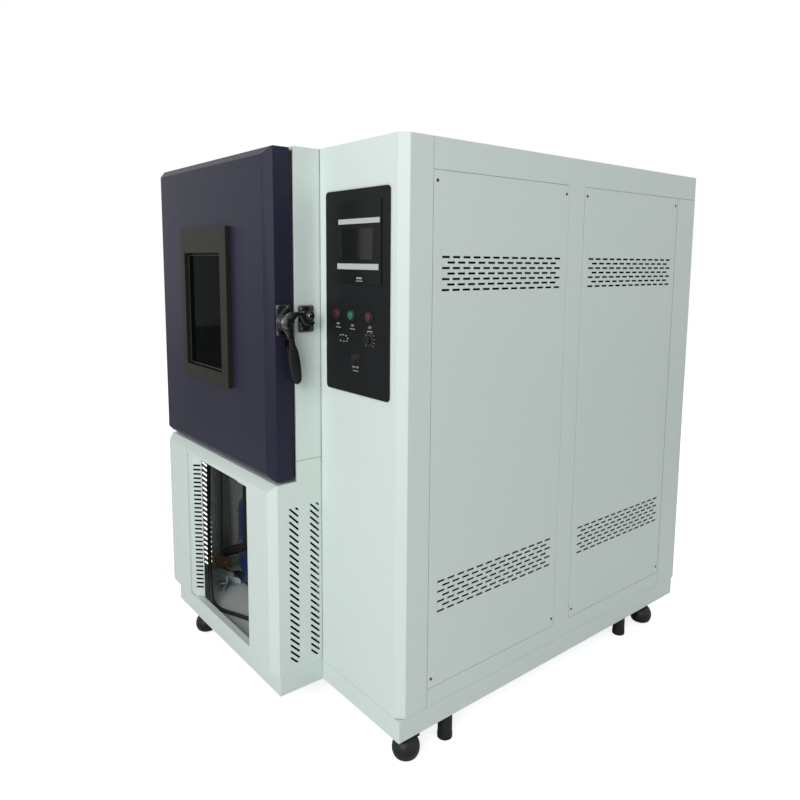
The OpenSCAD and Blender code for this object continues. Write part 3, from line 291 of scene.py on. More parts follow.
nylon = finish("black_nylon", (0.009, 0.0095, 0.010), 0.42, drift=0.3, grain=0.3, grain_scale=900,
               dust_and_shade=(0.04, 0.04, 0.037), dirt_and_shade=0.4, worn_and_glint_colour=(0.03, 0.032, 0.03), gloss=0.3)
tyre = finish("castor_tyre", (0.012, 0.012, 0.012), 0.7, drift=0.3, grain=0.4, dust_and_shade=(0.08, 0.075, 0.065),
              dirt_and_shade=0.6, gloss=0.3)
plated = finish("zinc_plated_steel", (0.42, 0.42, 0.42), 0.32, metallic=1.0, drift=0.15, grain=0.1,
                grain_scale=300, spread=0.15)
for place in ("front_right", "rear_right", "front_left", "rear_left"):
    rounded_copy("castor_hood_" + place, "fork_" + place, nylon, 0.5)
    rounded_copy("castor_wheel_" + place, "wheel_" + place, tyre, 1.5, 3)
rounded_copy("castor_plates", "caster_plates", plated, 0.4)


# Levelling feet beside the castors. A moulded black foot turns on a threaded stud, and two
# hexagon nuts hold the stud to the rail.
foot_places = ((-30, 201), (-40, 1116), (-1058, 37), (-1058, 1116))


def turned(shape, profile, centre, along, steps=40):
    along = Vector(along).normalized()
    out = along.orthogonal().normalized()
    wide = along.cross(out)
    rings = []
    for radius, height in profile:
        foot = centre + along * height / 1000
        if radius <= 0:
            rings.append([shape.verts.new(foot)])
            continue
        rings.append([shape.verts.new(foot + (out * math.cos(a) + wide * math.sin(a)) * radius / 1000)
                      for a in (2 * math.pi * i / steps for i in range(steps))])
    for low, high in zip(rings, rings[1:]):
        for i in range(steps):
            j = (i + 1) % steps
            corners = [low[i % len(low)], low[j % len(low)], high[j % len(high)], high[i % len(high)]]
            corners = list(dict.fromkeys(corners))
            if len(corners) > 2:
                shape.faces.new(corners)
    for ring, turn in ((rings[0], -1), (rings[-1], 1)):
        if len(ring) > 1:
            shape.faces.new(ring[::turn])


shape = bmesh.new()
for x, y in foot_places:
    turned(shape, [(0, -85), (21, -85), (23, -83), (23, -70), (22, -66), (22, -8), (20.5, -3), (20, 4),
                   (18, 8), (0, 8)], at(x, y, 0), (0, 0, 1), 36)
piece("levelling_feet_black", shape, nylon, "cabinet", 30, ("levelling_feet",))
shape = bmesh.new()
for x, y in foot_places:
    for low in (6, 24):
        nut = [(0, low), (10.5, low), (11.5, low + 1), (11.5, low + 9), (10.5, low + 10), (0, low + 10)]
        turned(shape, nut, at(x, y, 0), (0, 0, 1), 6)
    thread = [(6.0 - 0.5 * (i % 2), 34 + 0.8 * i) for i in range(8)]
    turned(shape, [(0, 14), (5.9, 14), (5.9, 33.5), *thread, (0, 40)], at(x, y, 0), (0, 0, 1), 24)
piece("levelling_studs_and_nuts", shape, plated, "cabinet", 25, ("levelling_feet",), "zinc")


# Screws of panels, castor plates and hinges. They are pan heads with a cross recess; one tree
# of nodes cuts the head and sets a copy of it at every place.
screw_tree = bpy.data.node_groups.new("pan_head_screws", "GeometryNodeTree")
for name, kind, start in (("Places", "NodeSocketGeometry", None), ("Head radius", "NodeSocketFloat", 0.0045),
                          ("Head height", "NodeSocketFloat", 0.0015), ("Axis", "NodeSocketVector", (1, 0, 0)),
                          ("Metal", "NodeSocketMaterial", None)):
    socket = screw_tree.interface.new_socket(name, in_out="INPUT", socket_type=kind)
    if start is not None:
        socket.default_value = start
screw_tree.interface.new_socket("Geometry", in_out="OUTPUT", socket_type="NodeSocketGeometry")


def wire(tree, kind, **given):
    node = tree.nodes.new(kind)
    for key, source in given.items():
        key = key.replace("_", " ")
        if isinstance(source, bpy.types.NodeSocket):
            tree.links.new(source, node.inputs[key])
        else:
            node.inputs[key].default_value = source
    return node


given = screw_tree.nodes.new("NodeGroupInput").outputs
ball = wire(screw_tree, "GeometryNodeMeshUVSphere", Segments=20, Rings=10, Radius=1.0)
bar = wire(screw_tree, "GeometryNodeMeshCube", Size=(1.1, 0.26, 0.9))
second_bar = wire(screw_tree, "GeometryNodeMeshCube", Size=(0.26, 1.1, 0.9))
raised = wire(screw_tree, "GeometryNodeTransform", Geometry=bar.outputs[0], Translation=(0, 0, 1.0))
second_raised = wire(screw_tree, "GeometryNodeTransform", Geometry=second_bar.outputs[0],
                     Translation=(0, 0, 1.0))
cut = screw_tree.nodes.new("GeometryNodeMeshBoolean")
cut.operation = "DIFFERENCE"
screw_tree.links.new(ball.outputs[0], cut.inputs["Mesh 1"])
screw_tree.links.new(raised.outputs[0], cut.inputs["Mesh 2"])
screw_tree.links.new(second_raised.outputs[0], cut.inputs["Mesh 2"])
width = screw_tree.nodes.new("ShaderNodeCombineXYZ")
for key, source in (("X", "Head radius"), ("Y", "Head radius"), ("Z", "Head height")):
    screw_tree.links.new(given[source], width.inputs[key])
head = wire(screw_tree, "GeometryNodeTransform", Geometry=cut.outputs[0], Scale=width.outputs[0])
aim = wire(screw_tree, "FunctionNodeAlignEulerToVector", Vector=given["Axis"])
aim.axis = "Z"
points = wire(screw_tree, "GeometryNodeMeshToPoints", Mesh=given["Places"])
copies = wire(screw_tree, "GeometryNodeInstanceOnPoints", Points=points.outputs[0],
              Instance=head.outputs[0], Rotation=aim.outputs[0])
solid = wire(screw_tree, "GeometryNodeRealizeInstances", Geometry=copies.outputs[0])
coated = wire(screw_tree, "GeometryNodeSetMaterial", Geometry=solid.outputs[0], Material=given["Metal"])
screw_tree.links.new(coated.outputs[0], screw_tree.nodes.new("NodeGroupOutput").inputs[0])


def repeated(name, tree, spots, body, sizes, replaced=(), slot=None):
    mesh = bpy.data.meshes.new(name + "_places")
    mesh.from_pydata([tuple(at(*spot)) for spot in spots], [], [])
    holder = bpy.data.objects.new(name + "_places", mesh)
    bpy.context.scene.collection.objects.link(holder)
    step = holder.modifiers.new("copies", "NODES")
    step.node_group = tree
    for item in tree.interface.items_tree:
        if item.item_type == "SOCKET" and item.in_out == "INPUT" and item.name in sizes:
            step[item.identifier] = sizes[item.name]
    grown = bpy.data.meshes.new_from_object(holder.evaluated_get(bpy.context.evaluated_depsgraph_get()))
    bpy.data.objects.remove(holder)
    grown.name = name
    grown.shade_smooth()
    grown.set_sharp_from_angle(angle=math.radians(35))
    thing = bpy.data.objects.new(name, grown)
    bpy.context.scene.collection.objects.link(thing)
    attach(thing, body)
    if replaced:
        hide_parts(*replaced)
        slot = slot or rows[replaced[0]]


panel_screw_places = [(0, y, z) for y in (115, 651, 757, 1290) for z in (148, 1539)]
black_zinc = finish("black_zinc_screw", (0.03, 0.032, 0.03), 0.4, metallic=0.6, drift=0.2, dirt_and_shade=0.6,
                    dust_and_shade=(0.01, 0.01, 0.01))
repeated("panel_screws_pan_head", screw_tree, panel_screw_places, "cabinet",
         {"Head radius": 0.0045, "Head height": 0.0015, "Axis": (1, 0, 0), "Metal": black_zinc},
         ("panel_screws",))
repeated("castor_plate_bolts", screw_tree,
         [(x + dx, y + dy, 12) for x, y in ((-34, 77), (-34, 1233), (-1038, -86), (-1058, 1233))
          for dx in (-22, 22) for dy in (-31, 31)], "cabinet",
         {"Head radius": 0.005, "Head height": 0.002, "Axis": (0, 0, -1), "Metal": plated}, (), "zinc")


# Plinth, sheets and frames of the cabinet. They are folded from 2 mm steel sheet, punched,
# and powder coated white; the folds keep a small radius where the coat wears first.
def softened(width, *names, cuts=2):
    for name in names:
        joined = nodes[name].modifiers.new("joined", "WELD")
        joined.merge_threshold = 0.00002
        fold = nodes[name].modifiers.new("folds", "BEVEL")
        fold.width = width / 1000
        fold.segments = cuts
        fold.limit_method = "ANGLE"
        fold.angle_limit = math.radians(38)
        fold.use_clamp_overlap = True


def dress(paint, *names):
    for name in names:
        mesh = nodes[name].data
        mesh.materials.clear()
        mesh.materials.append(paint)


# Its dark colour in corners, strong and kept within 7 mm, is painted shade: it draws dark lines where shadow
# falls in the seams and gaps.
white_coat = finish("white_powder_coat", (0.70, 0.795, 0.755), 0.42, drift=0.03, dirt_and_shade=0.8,
                    dust_and_shade=(0.13, 0.15, 0.145), reach=0.007, worn_and_glint_colour=(0.8, 0.88, 0.85), wear_and_glint=0.3, grain=0.12,
                    grain_scale=700, spread=0.06, gloss=0.35)
dress(white_coat, "plinth", "left_side_panel", "right_lower_panel", "right_upper_panel", "top_cover",
      "lower_front_frame", "vent_strip", "control_front", "side_frame", "access_panel_front",
      "access_panel_rear", "back_panel")
softened(1.2, "lower_front_frame", "plinth", "control_front")
softened(0.6, "side_frame", "right_upper_panel", "top_cover", cuts=1)
softened(0.3, "access_panel_front", "access_panel_rear", "right_lower_panel", cuts=1)

# Sheet that closes the plinth's front right corner, where the bevel leaves its square mouth
# open. It lies in the skirt, just under the front sheet's lower edge.
plate_low, plate_thick = 62, 0.0018
outline = ((-26, 2), (-2, 2), (-2, 26), (-4, 29), (-29, 4))
shape = bmesh.new()
corner_low = [shape.verts.new(at(x, y, plate_low)) for x, y in outline]
corner_top = [shape.verts.new(v.co + Vector((0, 0, plate_thick))) for v in corner_low]
shape.faces.new(corner_low[::-1])
shape.faces.new(corner_top)
for k in range(len(outline)):
    j = (k + 1) % len(outline)
    shape.faces.new([corner_low[k], corner_low[j], corner_top[j], corner_top[k]])
piece("plinth_corner_plate", shape, white_coat, "cabinet", 30, (), "white_paint")


# Black sheets with a quilted, foam-like face behind the slots, guessed: the photo shows only that the slots
# are dark.
# They are painted shade, dark sheets that stand for the shade behind the access panels, the lower side sheet
# and the slotted strip.
slot_shade_sheet_paint = finish("black_slot_shade_sheet", (0.006, 0.006, 0.006), 0.95, drift=0.4, grain=1.0, grain_scale=260,
                     dirt_and_shade=0.0, gloss=0.1)


def slot_shade_sheet(shape, spots, thick):
    """Sheet with a quilted face through four corners, `thick` deep along its normal."""
    a, b, c, d = (Vector(at(*spot)) for spot in spots)
    lift = (b - a).cross(d - a).normalized() * thick / 1000
    steps, pillows, swell_height = 24, 6, 0.12
    for side_of_mat in (0, 1):
        rows_of = []
        for i in range(steps + 1):
            row = []
            for j in range(steps + 1):
                u, v = i / steps, j / steps
                spot = (a * (1 - u) + b * u) * (1 - v) + (d * (1 - u) + c * u) * v
                swell = swell_height * math.sin(math.pi * pillows * u) * math.sin(math.pi * pillows * v)
                rim = 0 if i in (0, steps) or j in (0, steps) else 1
                row.append(shape.verts.new(spot + lift * (side_of_mat + swell * rim)))
            rows_of.append(row)
        for i in range(steps):
            for j in range(steps):
                shape.faces.new([rows_of[i][j], rows_of[i + 1][j], rows_of[i + 1][j + 1], rows_of[i][j + 1]])
        if side_of_mat == 0:
            lower = rows_of
    upper = rows_of
    rim_of = [(i, 0) for i in range(steps)] + [(steps, j) for j in range(steps)] + \
             [(i, steps) for i in range(steps, 0, -1)] + [(0, j) for j in range(steps, 0, -1)]
    for (i, j), (k, m) in zip(rim_of, rim_of[1:] + rim_of[:1]):
        shape.faces.new([lower[i][j], lower[k][m], upper[k][m], upper[i][j]])


mat_x, half_width, half_height = -12, 262, 56
shape = bmesh.new()
for middle in (383, 1023.5):
    for height in (1297, 388):
        front, rear = middle - half_width, middle + half_width
        low, high = height - half_height, height + half_height
        slot_shade_sheet(shape, [(mat_x, front, low), (mat_x, rear, low), (mat_x, rear, high),
                           (mat_x, front, high)], 6)
piece("access_panel_shade_sheets", shape, slot_shade_sheet_paint, "cabinet", 60, (), "black_plastic")
shape = bmesh.new()
slot_shade_sheet(shape, [(-397, -140, 78), (-397, -20, 78), (-397, -20, 612), (-397, -140, 612)], 5)
piece("side_sheet_shade_sheet", shape, slot_shade_sheet_paint, "cabinet", 60, (), "black_plastic")
shape = bmesh.new()
slot_shade_sheet(shape, [(-953.6, -152.4, 104), (-972.6, -171.6, 104), (-972.6, -171.6, 629),
                   (-953.6, -152.4, 629)], 2.2)
piece("slotted_strip_shade_sheet", shape, slot_shade_sheet_paint, "cabinet", 60, (), "black_plastic")


tray_coat = finish("grey_tray", (0.64, 0.69, 0.68), 0.5, drift=0.2, dirt_and_shade=0.4, dust_and_shade=(0.2, 0.2, 0.19),
                   grain=0.2, grain_scale=300)
dress(tray_coat, "base_tray")
galvanised = finish("galvanised_sheet", (0.50, 0.54, 0.52), 0.45, metallic=0.6, drift=0.25, grain=0.1,
                    grain_scale=120, spread=0.2)
dress(galvanised, "inner_partition", "chamber_casing")


# Refrigeration set on the tray. The compressor is a welded steel shell in glossy dark blue,
# on rubber mounts, with three raised bands and a cap in the same blue over its outlet.
blue_coat = finish("blue_compressor_paint", (0.012, 0.028, 0.10), 0.35, drift=0.2, grain=0.15, coat=0.2,
                   dirt_and_shade=0.5)
rubber = finish("hose_rubber", (0.012, 0.013, 0.013), 0.5, drift=0.3, grain=0.3, dirt_and_shade=0.3,
                dust_and_shade=(0.05, 0.05, 0.045), gloss=0.35)
rounded_copy("compressor", "compressor_shell", blue_coat, 1.5, 2, sharp=50)
shell_axis = at(-985, 88, 0)
shape = bmesh.new()
turned(shape, [(0, 449), (33, 449), (34, 452), (34, 474), (30, 479), (12, 480), (0, 480)], shell_axis,
       (0, 0, 1), 32)
for z in (166, 270, 372):
    turned(shape, [(77.2, z - 4), (78.4, z - 3), (78.4, z + 3), (77.2, z + 4)], shell_axis, (0, 0, 1), 64)
piece("compressor_cap_and_bands", shape, blue_coat, "cabinet", 30, (), "blue_paint")
shape = bmesh.new()
for x in (-1065, -905):
    for y in (38, 144):
        turned(shape, [(13.2, 66), (15, 68), (13, 72), (15, 76), (13, 80), (14.5, 83.5), (0, 84)],
               at(x, y, 0), (0, 0, 1), 24)
piece("compressor_rubber_mounts", shape, rubber, "cabinet", 40, (), "hose_rubber")

brass = finish("brass_fitting", (0.72, 0.48, 0.2), 0.3, metallic=1.0, drift=0.15, spread=0.15)
steel_grey = finish("motor_paint", (0.05, 0.06, 0.07), 0.5, drift=0.2, grain=0.2)
rounded_copy("fan_motors_painted", "fan_motors", steel_grey, 0.8)
rounded_copy("condenser_fan_wheel", "condenser_fan", steel_grey, 0.4, 1)
fins = finish("aluminium_fins", (0.6, 0.62, 0.63), 0.4, metallic=1.0, drift=0.1, grain=0.9,
              grain_scale=60, drawn=(1, 1, 9))
dress(fins, "condenser")


# Copper lines and the suction line. They are bent from hard drawn tube and brazed; the
# suction line runs in black foam, and brass nuts join the lines to compressor and condenser.
def smooth_route(points, bend, steps=8):
    path = [Vector(points[0])]
    for before, here, after in zip(points, points[1:], points[2:]):
        before, here, after = Vector(before), Vector(here), Vector(after)
        start = here + (before - here).normalized() * min(bend, (before - here).length * 0.48)
        end = here + (after - here).normalized() * min(bend, (after - here).length * 0.48)
        for k in range(steps + 1):
            t = k / steps
            path.append((1 - t) ** 2 * start + 2 * t * (1 - t) * here + t * t * end)
    path.append(Vector(points[-1]))
    return path


def tube(shape, path, radius, sides=16):
    across = Vector((0.31, 0.87, 0.38))
    rings = []
    for i, spot in enumerate(path):
        ahead = (path[min(i + 1, len(path) - 1)] - path[max(i - 1, 0)]).normalized()
        across = (across - ahead * across.dot(ahead)).normalized()
        other = ahead.cross(across)
        rings.append([shape.verts.new(at(*(spot + radius * (math.cos(a) * across + math.sin(a) * other))))
                      for a in (2 * math.pi * k / sides for k in range(sides))])
    for low, high in zip(rings, rings[1:]):
        for k in range(sides):
            j = (k + 1) % sides
            shape.faces.new([low[k], low[j], high[j], high[k]])
    shape.faces.new(rings[0][::-1])
    shape.faces.new(rings[-1])


copper = finish("copper_tube", (0.62, 0.27, 0.14), 0.32, metallic=1.0, drift=0.35, spread=0.25,
                worn_and_glint_colour=(0.8, 0.45, 0.3), dirt_and_shade=0.5, dust_and_shade=(0.12, 0.09, 0.07))
discharge = [(-985, 88, 480.3), (-985, 88, 560), (-985, 690, 560), (-600, 700, 300), (-300, 700, 300),
             (-200, 820, 300), (-150, 820, 300)]
liquid = [(-150, 820, 200), (-200, 820, 200), (-300, 640, 200), (-600, 640, 200), (-900, 560, 200),
          (-1100, 580, 300), (-1100, 580, 665.7)]
shape = bmesh.new()
tube(shape, smooth_route(discharge, 30), 6)
tube(shape, smooth_route(liquid, 26), 5)
piece("copper_lines", shape, copper, "cabinet", 50, ("copper_pipes",))
shape = bmesh.new()
for spot, along, r in (((-985, 88, 482), (0, 0, 1), 10), ((-150, 820, 300), (-1, 0, 0), 9),
                       ((-150, 820, 200), (-1, 0, 0), 8)):
    turned(shape, [(0, 0.3), (r, 0.3), (r + 0.8, 1), (r + 0.8, 9), (r, 10), (r - 2.5, 11),
                   (r - 2.5, 18), (0, 18)], at(*spot), along, 6)
piece("pipe_nuts", shape, brass, "cabinet", 25, (), "copper")

suction = [(-860, -20, 665.7), (-860, -20, 300), (-925, -14, 259), (-1031, -12, 216), (-1080, -8, 183),
           (-1128, 20, 165), (-1128, 88, 160), (-1062.3, 88, 160)]
foam_sleeve = finish("pipe_foam_sleeve", (0.012, 0.011, 0.010), 0.85, drift=0.4, grain=0.7,
                     grain_scale=350, dust_and_shade=(0.03, 0.028, 0.025), dirt_and_shade=0.4, gloss=0.2)
shape = bmesh.new()
tube(shape, smooth_route(suction, 50, 10), 15.8, 24)
piece("suction_line_foam", shape, foam_sleeve, "cabinet", 50, ("black_hoses",))


# Drain hose of black rubber. It hangs from the chamber floor just inside the machine opening,
# turns on the tray in a wide bend and runs back to the outlet in the back sheet.
drain = smooth_route([(-1010, -95, 665.7), (-1010, -100, 520), (-1004, -105, 380), (-992, -112, 260),
                      (-978, -118, 180), (-955, -126, 120), (-925, -132, 84), (-890, -132, 72.8),
                      (-800, -95, 72.8), (-660, -40, 72.8), (-570, 60, 72.8), (-520, 300, 72.8),
                      (-520, 800, 72.8), (-560, 1200, 72.8), (-560, 1424, 72.8)], 50, 6)
shape = bmesh.new()
tube(shape, drain, 6.5, 20)
drain_hose = piece("drain_hose", shape, rubber, "cabinet", 60, ("black_hoses",))


# Wiring loom of the compressor: thin single cores in PVC. Orange, red and yellow leave a clip
# on the shell, hang in loose turns beside it and end in a clip on its foot, where the black
# one, which comes down the left wall, ends too.
orange_core = finish("orange_wire", (0.62, 0.2, 0.03), 0.45, drift=0.1, dirt_and_shade=0.1)
red_core = finish("red_wire", (0.4, 0.03, 0.03), 0.45, drift=0.1, dirt_and_shade=0.1)
yellow_core = finish("yellow_wire", (0.6, 0.38, 0.04), 0.45, drift=0.1, dirt_and_shade=0.1)
black_core = finish("black_wire", (0.012, 0.012, 0.013), 0.45, drift=0.1, dust_and_shade=(0.04, 0.04, 0.04))


def loose_turns(start, centre, across, upright, turns, finish_spots):
    """Route from `start` round `turns` turns that face the front right, then to its end."""
    route = [start]
    count = int(turns * 10)
    for k in range(count + 1):
        a = math.radians(70 + 36 * k)
        wide = 1 + 0.12 * math.sin(2.3 * k)
        route.append((centre[0] + 0.38 * across * wide * math.cos(a),
                      centre[1] + 0.92 * across * wide * math.cos(a) - 1.2 * k,
                      centre[2] + upright * wide * math.sin(a)))
    return route + finish_spots


looms = (
    ("orange_wire_loop", orange_core, 0.0024,
     loose_turns((-1037, 34, 252), (-1128, -4, 141), 25, 30, 2.2,
                 [(-1100, -12, 108), (-1092, 8, 98), (-1079, 28, 93.5)])),
    ("red_wire_loop", red_core, 0.0024,
     loose_turns((-1035, 33, 240), (-1120, 2, 146), 21, 27, 1.7,
                 [(-1110, 4, 112), (-1098, 16, 98), (-1079, 32, 93.5)])),
    ("yellow_wire_loop", yellow_core, 0.0024,
     loose_turns((-1030, 28, 262), (-1112, 8, 150), 19, 24, 1.4,
                 [(-1104, 10, 112), (-1094, 22, 98), (-1079, 36, 93.5)])),
    ("black_wire_loop", black_core, 0.004,
     [(-1187, 30, 640), (-1180, 26, 560), (-1176, 24, 420), (-1172, 20, 300), (-1160, 12, 200),
      (-1146, 4, 130), (-1124, 2, 104), (-1096, 12, 98), (-1086, 26, 96), (-1078, 40, 94.5)]))
for name, paint, thick, points in looms:
    path = smooth_route(points, 12, 3)
    shape = bmesh.new()
    tube(shape, path, thick * 500, 12)
    core = piece(name, shape, paint, "cabinet", 60, (), "black_plastic")


def block(shape, low, high, soft=0.0, cuts=2):
    low, high = at(*low), at(*high)
    made = bmesh.ops.create_cube(shape, size=1.0)["verts"]
    for vertex in made:
        for k in range(3):
            vertex.co[k] = low[k] if vertex.co[k] < 0 else high[k]
    if soft:
        edges = list({e for v in made for e in v.link_edges})
        bmesh.ops.bevel(shape, geom=edges, offset=soft / 1000, segments=cuts, profile=0.5,
                        affect="EDGES", clamp_overlap=True)


shape = bmesh.new()
block(shape, (-1187, 22, 632), (-1181, 40, 648), 1.5)
block(shape, (-1041, 26, 236), (-1033, 38, 266), 1.5)
block(shape, (-1083, 22, 91.7), (-1070, 48, 97), 1.0)
piece("cable_clips", shape, nylon, "cabinet", 40, (), "black_plastic")


# Loose angle bracket left on the tray and the tab behind the frame, with three lengths of
# slotted angle that lie beside it, one leaning on another. All are bright zinc plated sheet.
bright = finish("bright_zinc_sheet", (0.66, 0.80, 0.82), 0.4, metallic=0.15, drift=0.15, spread=0.2, dirt_and_shade=0.5,
                dust_and_shade=(0.15, 0.16, 0.16))
rounded_copy("bracket_and_tab", "brackets", bright, 0.4, 1)
angle_places = ((-38, (-1046, -34), 66.6, 0), (28, (-1062, -8), 66.6, 0), (-30, (-1048, -30), 69, 34))
shape = bmesh.new()
for angle, shift, height, lean in angle_places:
    made = len(shape.verts)
    for k in range(6):
        block(shape, (-46 + 16 * k, -13, 0), (-38 + 16 * k, 13, 1.6))
    for y in (-13, -2.5, 8):
        block(shape, (-46, y, 0), (50, y + 5, 1.6))
    block(shape, (-46, 11.4, 0), (50, 13, 22))
    shape.verts.ensure_lookup_table()
    laid = Matrix.Translation(Vector((*shift, height)) / 1000) @ Matrix.Rotation(math.radians(angle), 4, "Z")
    laid = laid @ Matrix.Rotation(math.radians(-lean), 4, "Y")
    bmesh.ops.transform(shape, verts=shape.verts[made:], space=Matrix.Translation(-corner), matrix=laid)
piece("loose_slotted_angles", shape, bright, "cabinet", 30, (), "zinc")


# Test chamber. The lining, baffle and shelf rails are brushed stainless sheet inside dark
# faced foam; the circulation fan's wheel is riveted from the same sheet.
brushed = finish("brushed_stainless", (0.62, 0.63, 0.63), 0.3, metallic=1.0, drift=0.08, grain=0.15,
                 grain_scale=60, spread=0.2, drawn=(1, 1, 14))
dress(brushed, "liner", "shelf_rails", "air_baffle", "door_inner")
softened(0.8, "liner", "shelf_rails", "door_inner")
rounded_copy("fan_wheel", "fan_impeller", brushed, 0.3, 1)
foam = finish("foil_faced_foam", (0.09, 0.09, 0.075), 0.9, drift=0.3, grain=0.8, grain_scale=200)
dress(foam, "insulation")


# Two wire shelves. Seventeen round bars are welded between two thicker ones; a tree of nodes
# sets the bars side by side.
bar_tree = bpy.data.node_groups.new("welded_bars", "GeometryNodeTree")
for name, kind, start in (("Places", "NodeSocketGeometry", None), ("Bar radius", "NodeSocketFloat", 0.003),
                          ("Bar length", "NodeSocketFloat", 0.4), ("Axis", "NodeSocketVector", (0, 1, 0)),
                          ("Metal", "NodeSocketMaterial", None)):
    socket = bar_tree.interface.new_socket(name, in_out="INPUT", socket_type=kind)
    if start is not None:
        socket.default_value = start
bar_tree.interface.new_socket("Geometry", in_out="OUTPUT", socket_type="NodeSocketGeometry")
given = bar_tree.nodes.new("NodeGroupInput").outputs
rod = wire(bar_tree, "GeometryNodeMeshCylinder", Vertices=16, Radius=given["Bar radius"],
           Depth=given["Bar length"])
aim = wire(bar_tree, "FunctionNodeAlignEulerToVector", Vector=given["Axis"])
aim.axis = "Z"
points = wire(bar_tree, "GeometryNodeMeshToPoints", Mesh=given["Places"])
copies = wire(bar_tree, "GeometryNodeInstanceOnPoints", Points=points.outputs[0], Instance=rod.outputs[0],
              Rotation=aim.outputs[0])
solid = wire(bar_tree, "GeometryNodeRealizeInstances", Geometry=copies.outputs[0])
coated = wire(bar_tree, "GeometryNodeSetMaterial", Geometry=solid.outputs[0], Material=given["Metal"])
bar_tree.links.new(coated.outputs[0], bar_tree.nodes.new("NodeGroupOutput").inputs[0])

chamber_middle, chamber_floor = -799, 786.5
shelf_front, shelf_back, shelf_half = -50, 380, 288
shelf_heights, bars_each_side, bar_inset = (200, 450), 8, 3
repeated("shelf_bars", bar_tree,
         [(chamber_middle - shelf_half + bar_inset + i * (shelf_half - bar_inset) / bars_each_side,
           (shelf_front + shelf_back) / 2, chamber_floor + height + 4.5)
          for height in shelf_heights for i in range(2 * bars_each_side + 1)], "cabinet",
         {"Bar radius": 0.0025, "Bar length": (shelf_back - shelf_front - 4) / 1000, "Axis": (0, 1, 0),
          "Metal": brushed}, ("shelves",))
repeated("shelf_cross_bars", bar_tree,
         [(chamber_middle, y, chamber_floor + height + 4) for height in shelf_heights
          for y in (shelf_front + 4, shelf_back - 4)], "cabinet",
         {"Bar radius": 0.004, "Bar length": 2 * shelf_half / 1000, "Axis": (1, 0, 0), "Metal": brushed},
         ("shelves",))


# Door seal. A black silicone profile with a round bulb towards the chamber and a flat foot
# that is pressed into the door's inner sheet; its corners are rounded.
seal_rubber = finish("door_seal_rubber", (0.018, 0.020, 0.020), 0.6, drift=0.25, grain=0.2, dirt_and_shade=0.3,
                     dust_and_shade=(0.06, 0.06, 0.055), gloss=0.3)


def ring_profile(shape, profile, left, right, low, high, corner_steps=1, radius=0.0):
    """Profile of (inset, y) pairs carried round an upright rectangle."""
    rings = []
    for inset, y in profile:
        ring = []
        for cx, cz, start in ((right - inset, high - inset, 0), (left + inset, high - inset, 90),
                              (left + inset, low + inset, 180), (right - inset, low + inset, 270)):
            r = max(radius - inset, 0.01) if radius else 0.01
            for k in range(corner_steps + 1):
                a = math.radians(start + 90 * k / max(corner_steps, 1))
                sx = -1 if math.cos(math.radians(start + 45)) > 0 else 1
                sz = -1 if math.sin(math.radians(start + 45)) > 0 else 1
                spot = at(cx + sx * r + r * math.cos(a), y, cz + sz * r + r * math.sin(a))
                ring.append(shape.verts.new(spot))
        rings.append(ring)
    count = len(rings[0])
    for first, second in zip(rings, rings[1:] + rings[:1]):
        for k in range(count):
            j = (k + 1) % count
            shape.faces.new([first[k], first[j], second[j], second[k]])


bulb = [(4, -101), (4.6, -99.5), (6, -98), (4.2, -96), (4.2, -93.5), (7, -91.2), (12, -90.3), (20, -90.3),
        (25, -91.2), (27.8, -93.5), (27.8, -96), (26, -98), (27.4, -99.5), (28, -101)]
shape = bmesh.new()
ring_profile(shape, bulb, -1209, -389, 678, 1645, 4, 14)
piece("door_seal", shape, seal_rubber, "door", 50, ("door_gasket",))


# Door. The shell is folded steel with wide bevels, coated in a dark blue hammered paint; the
# window frame is a separate satin grey-brown casting that stands proud of it.
hammered = finish("dark_hammered_paint", (0.022, 0.0225, 0.045), 0.44, drift=0.45, dirt_and_shade=0.3,
                  dust_and_shade=(0.01, 0.01, 0.012), worn_and_glint_colour=(0.07, 0.08, 0.12), wear_and_glint=0.5, grain=0.45, grain_scale=330,
                  spread=0.2, gloss=0.14)
dress(hammered, "door_shell")
softened(1.2, "door_shell", cuts=3)
frame_coat = finish("window_frame_coat", (0.019, 0.0195, 0.0135), 0.5, drift=0.2, dirt_and_shade=0.3,
                    dust_and_shade=(0.015, 0.015, 0.012), worn_and_glint_colour=(0.09, 0.09, 0.07), grain=0.2, grain_scale=700,
                    gloss=0.14)
dress(frame_coat, "window_frame")
softened(1.0, "window_frame", cuts=3)


# Window. Three panes of toughened glass, near black and three quarters opaque, are held apart by narrow
# aluminium spacers and sealed with a black bead.
# Their dark tint is painted shade: it stands for the unlit chamber seen through them.
pane_glass = bpy.data.materials.new("shade_darkened_pane")
pane_glass.use_nodes = True
tree = pane_glass.node_tree
shader = tree.nodes["Principled BSDF"]
haze = noise(tree, 9.0, 3)
tint = blend_colour(tree, haze, (0.002, 0.003, 0.0027), (0.004, 0.006, 0.0055))
tree.links.new(tint, shader.inputs["Base Color"])
tree.links.new(value(tree, "MULTIPLY_ADD", haze, 0.05, 0.02), shader.inputs["Roughness"])
tree.links.new(value(tree, "MULTIPLY_ADD", haze, 0.06, 0.76), shader.inputs["Alpha"])
shader.inputs["Specular IOR Level"].default_value = 0.01
dress(pane_glass, "window_glass")
spacer_metal = finish("pane_spacer", (0.10, 0.14, 0.13), 0.4, metallic=0.6, drift=0.2)
window_opening = (-945, -668, 975, 1344)
shape = bmesh.new()
for front, back in ((-143, -136.2), (-104, -100), (-94, -91), (-86, -81.2)):
    ring_profile(shape, [(0.2, front), (0.2, back), (6, back), (6, front)], *window_opening)
piece("pane_spacers", shape, spacer_metal, "door", 30, (), "stainless")
shape = bmesh.new()
ring_profile(shape, [(0.1, -176.5), (0.1, -177.9), (2.2, -177.2), (3.6, -176.3)], *window_opening)
piece("window_bead", shape, seal_rubber, "door", 40, (), "seal_rubber")


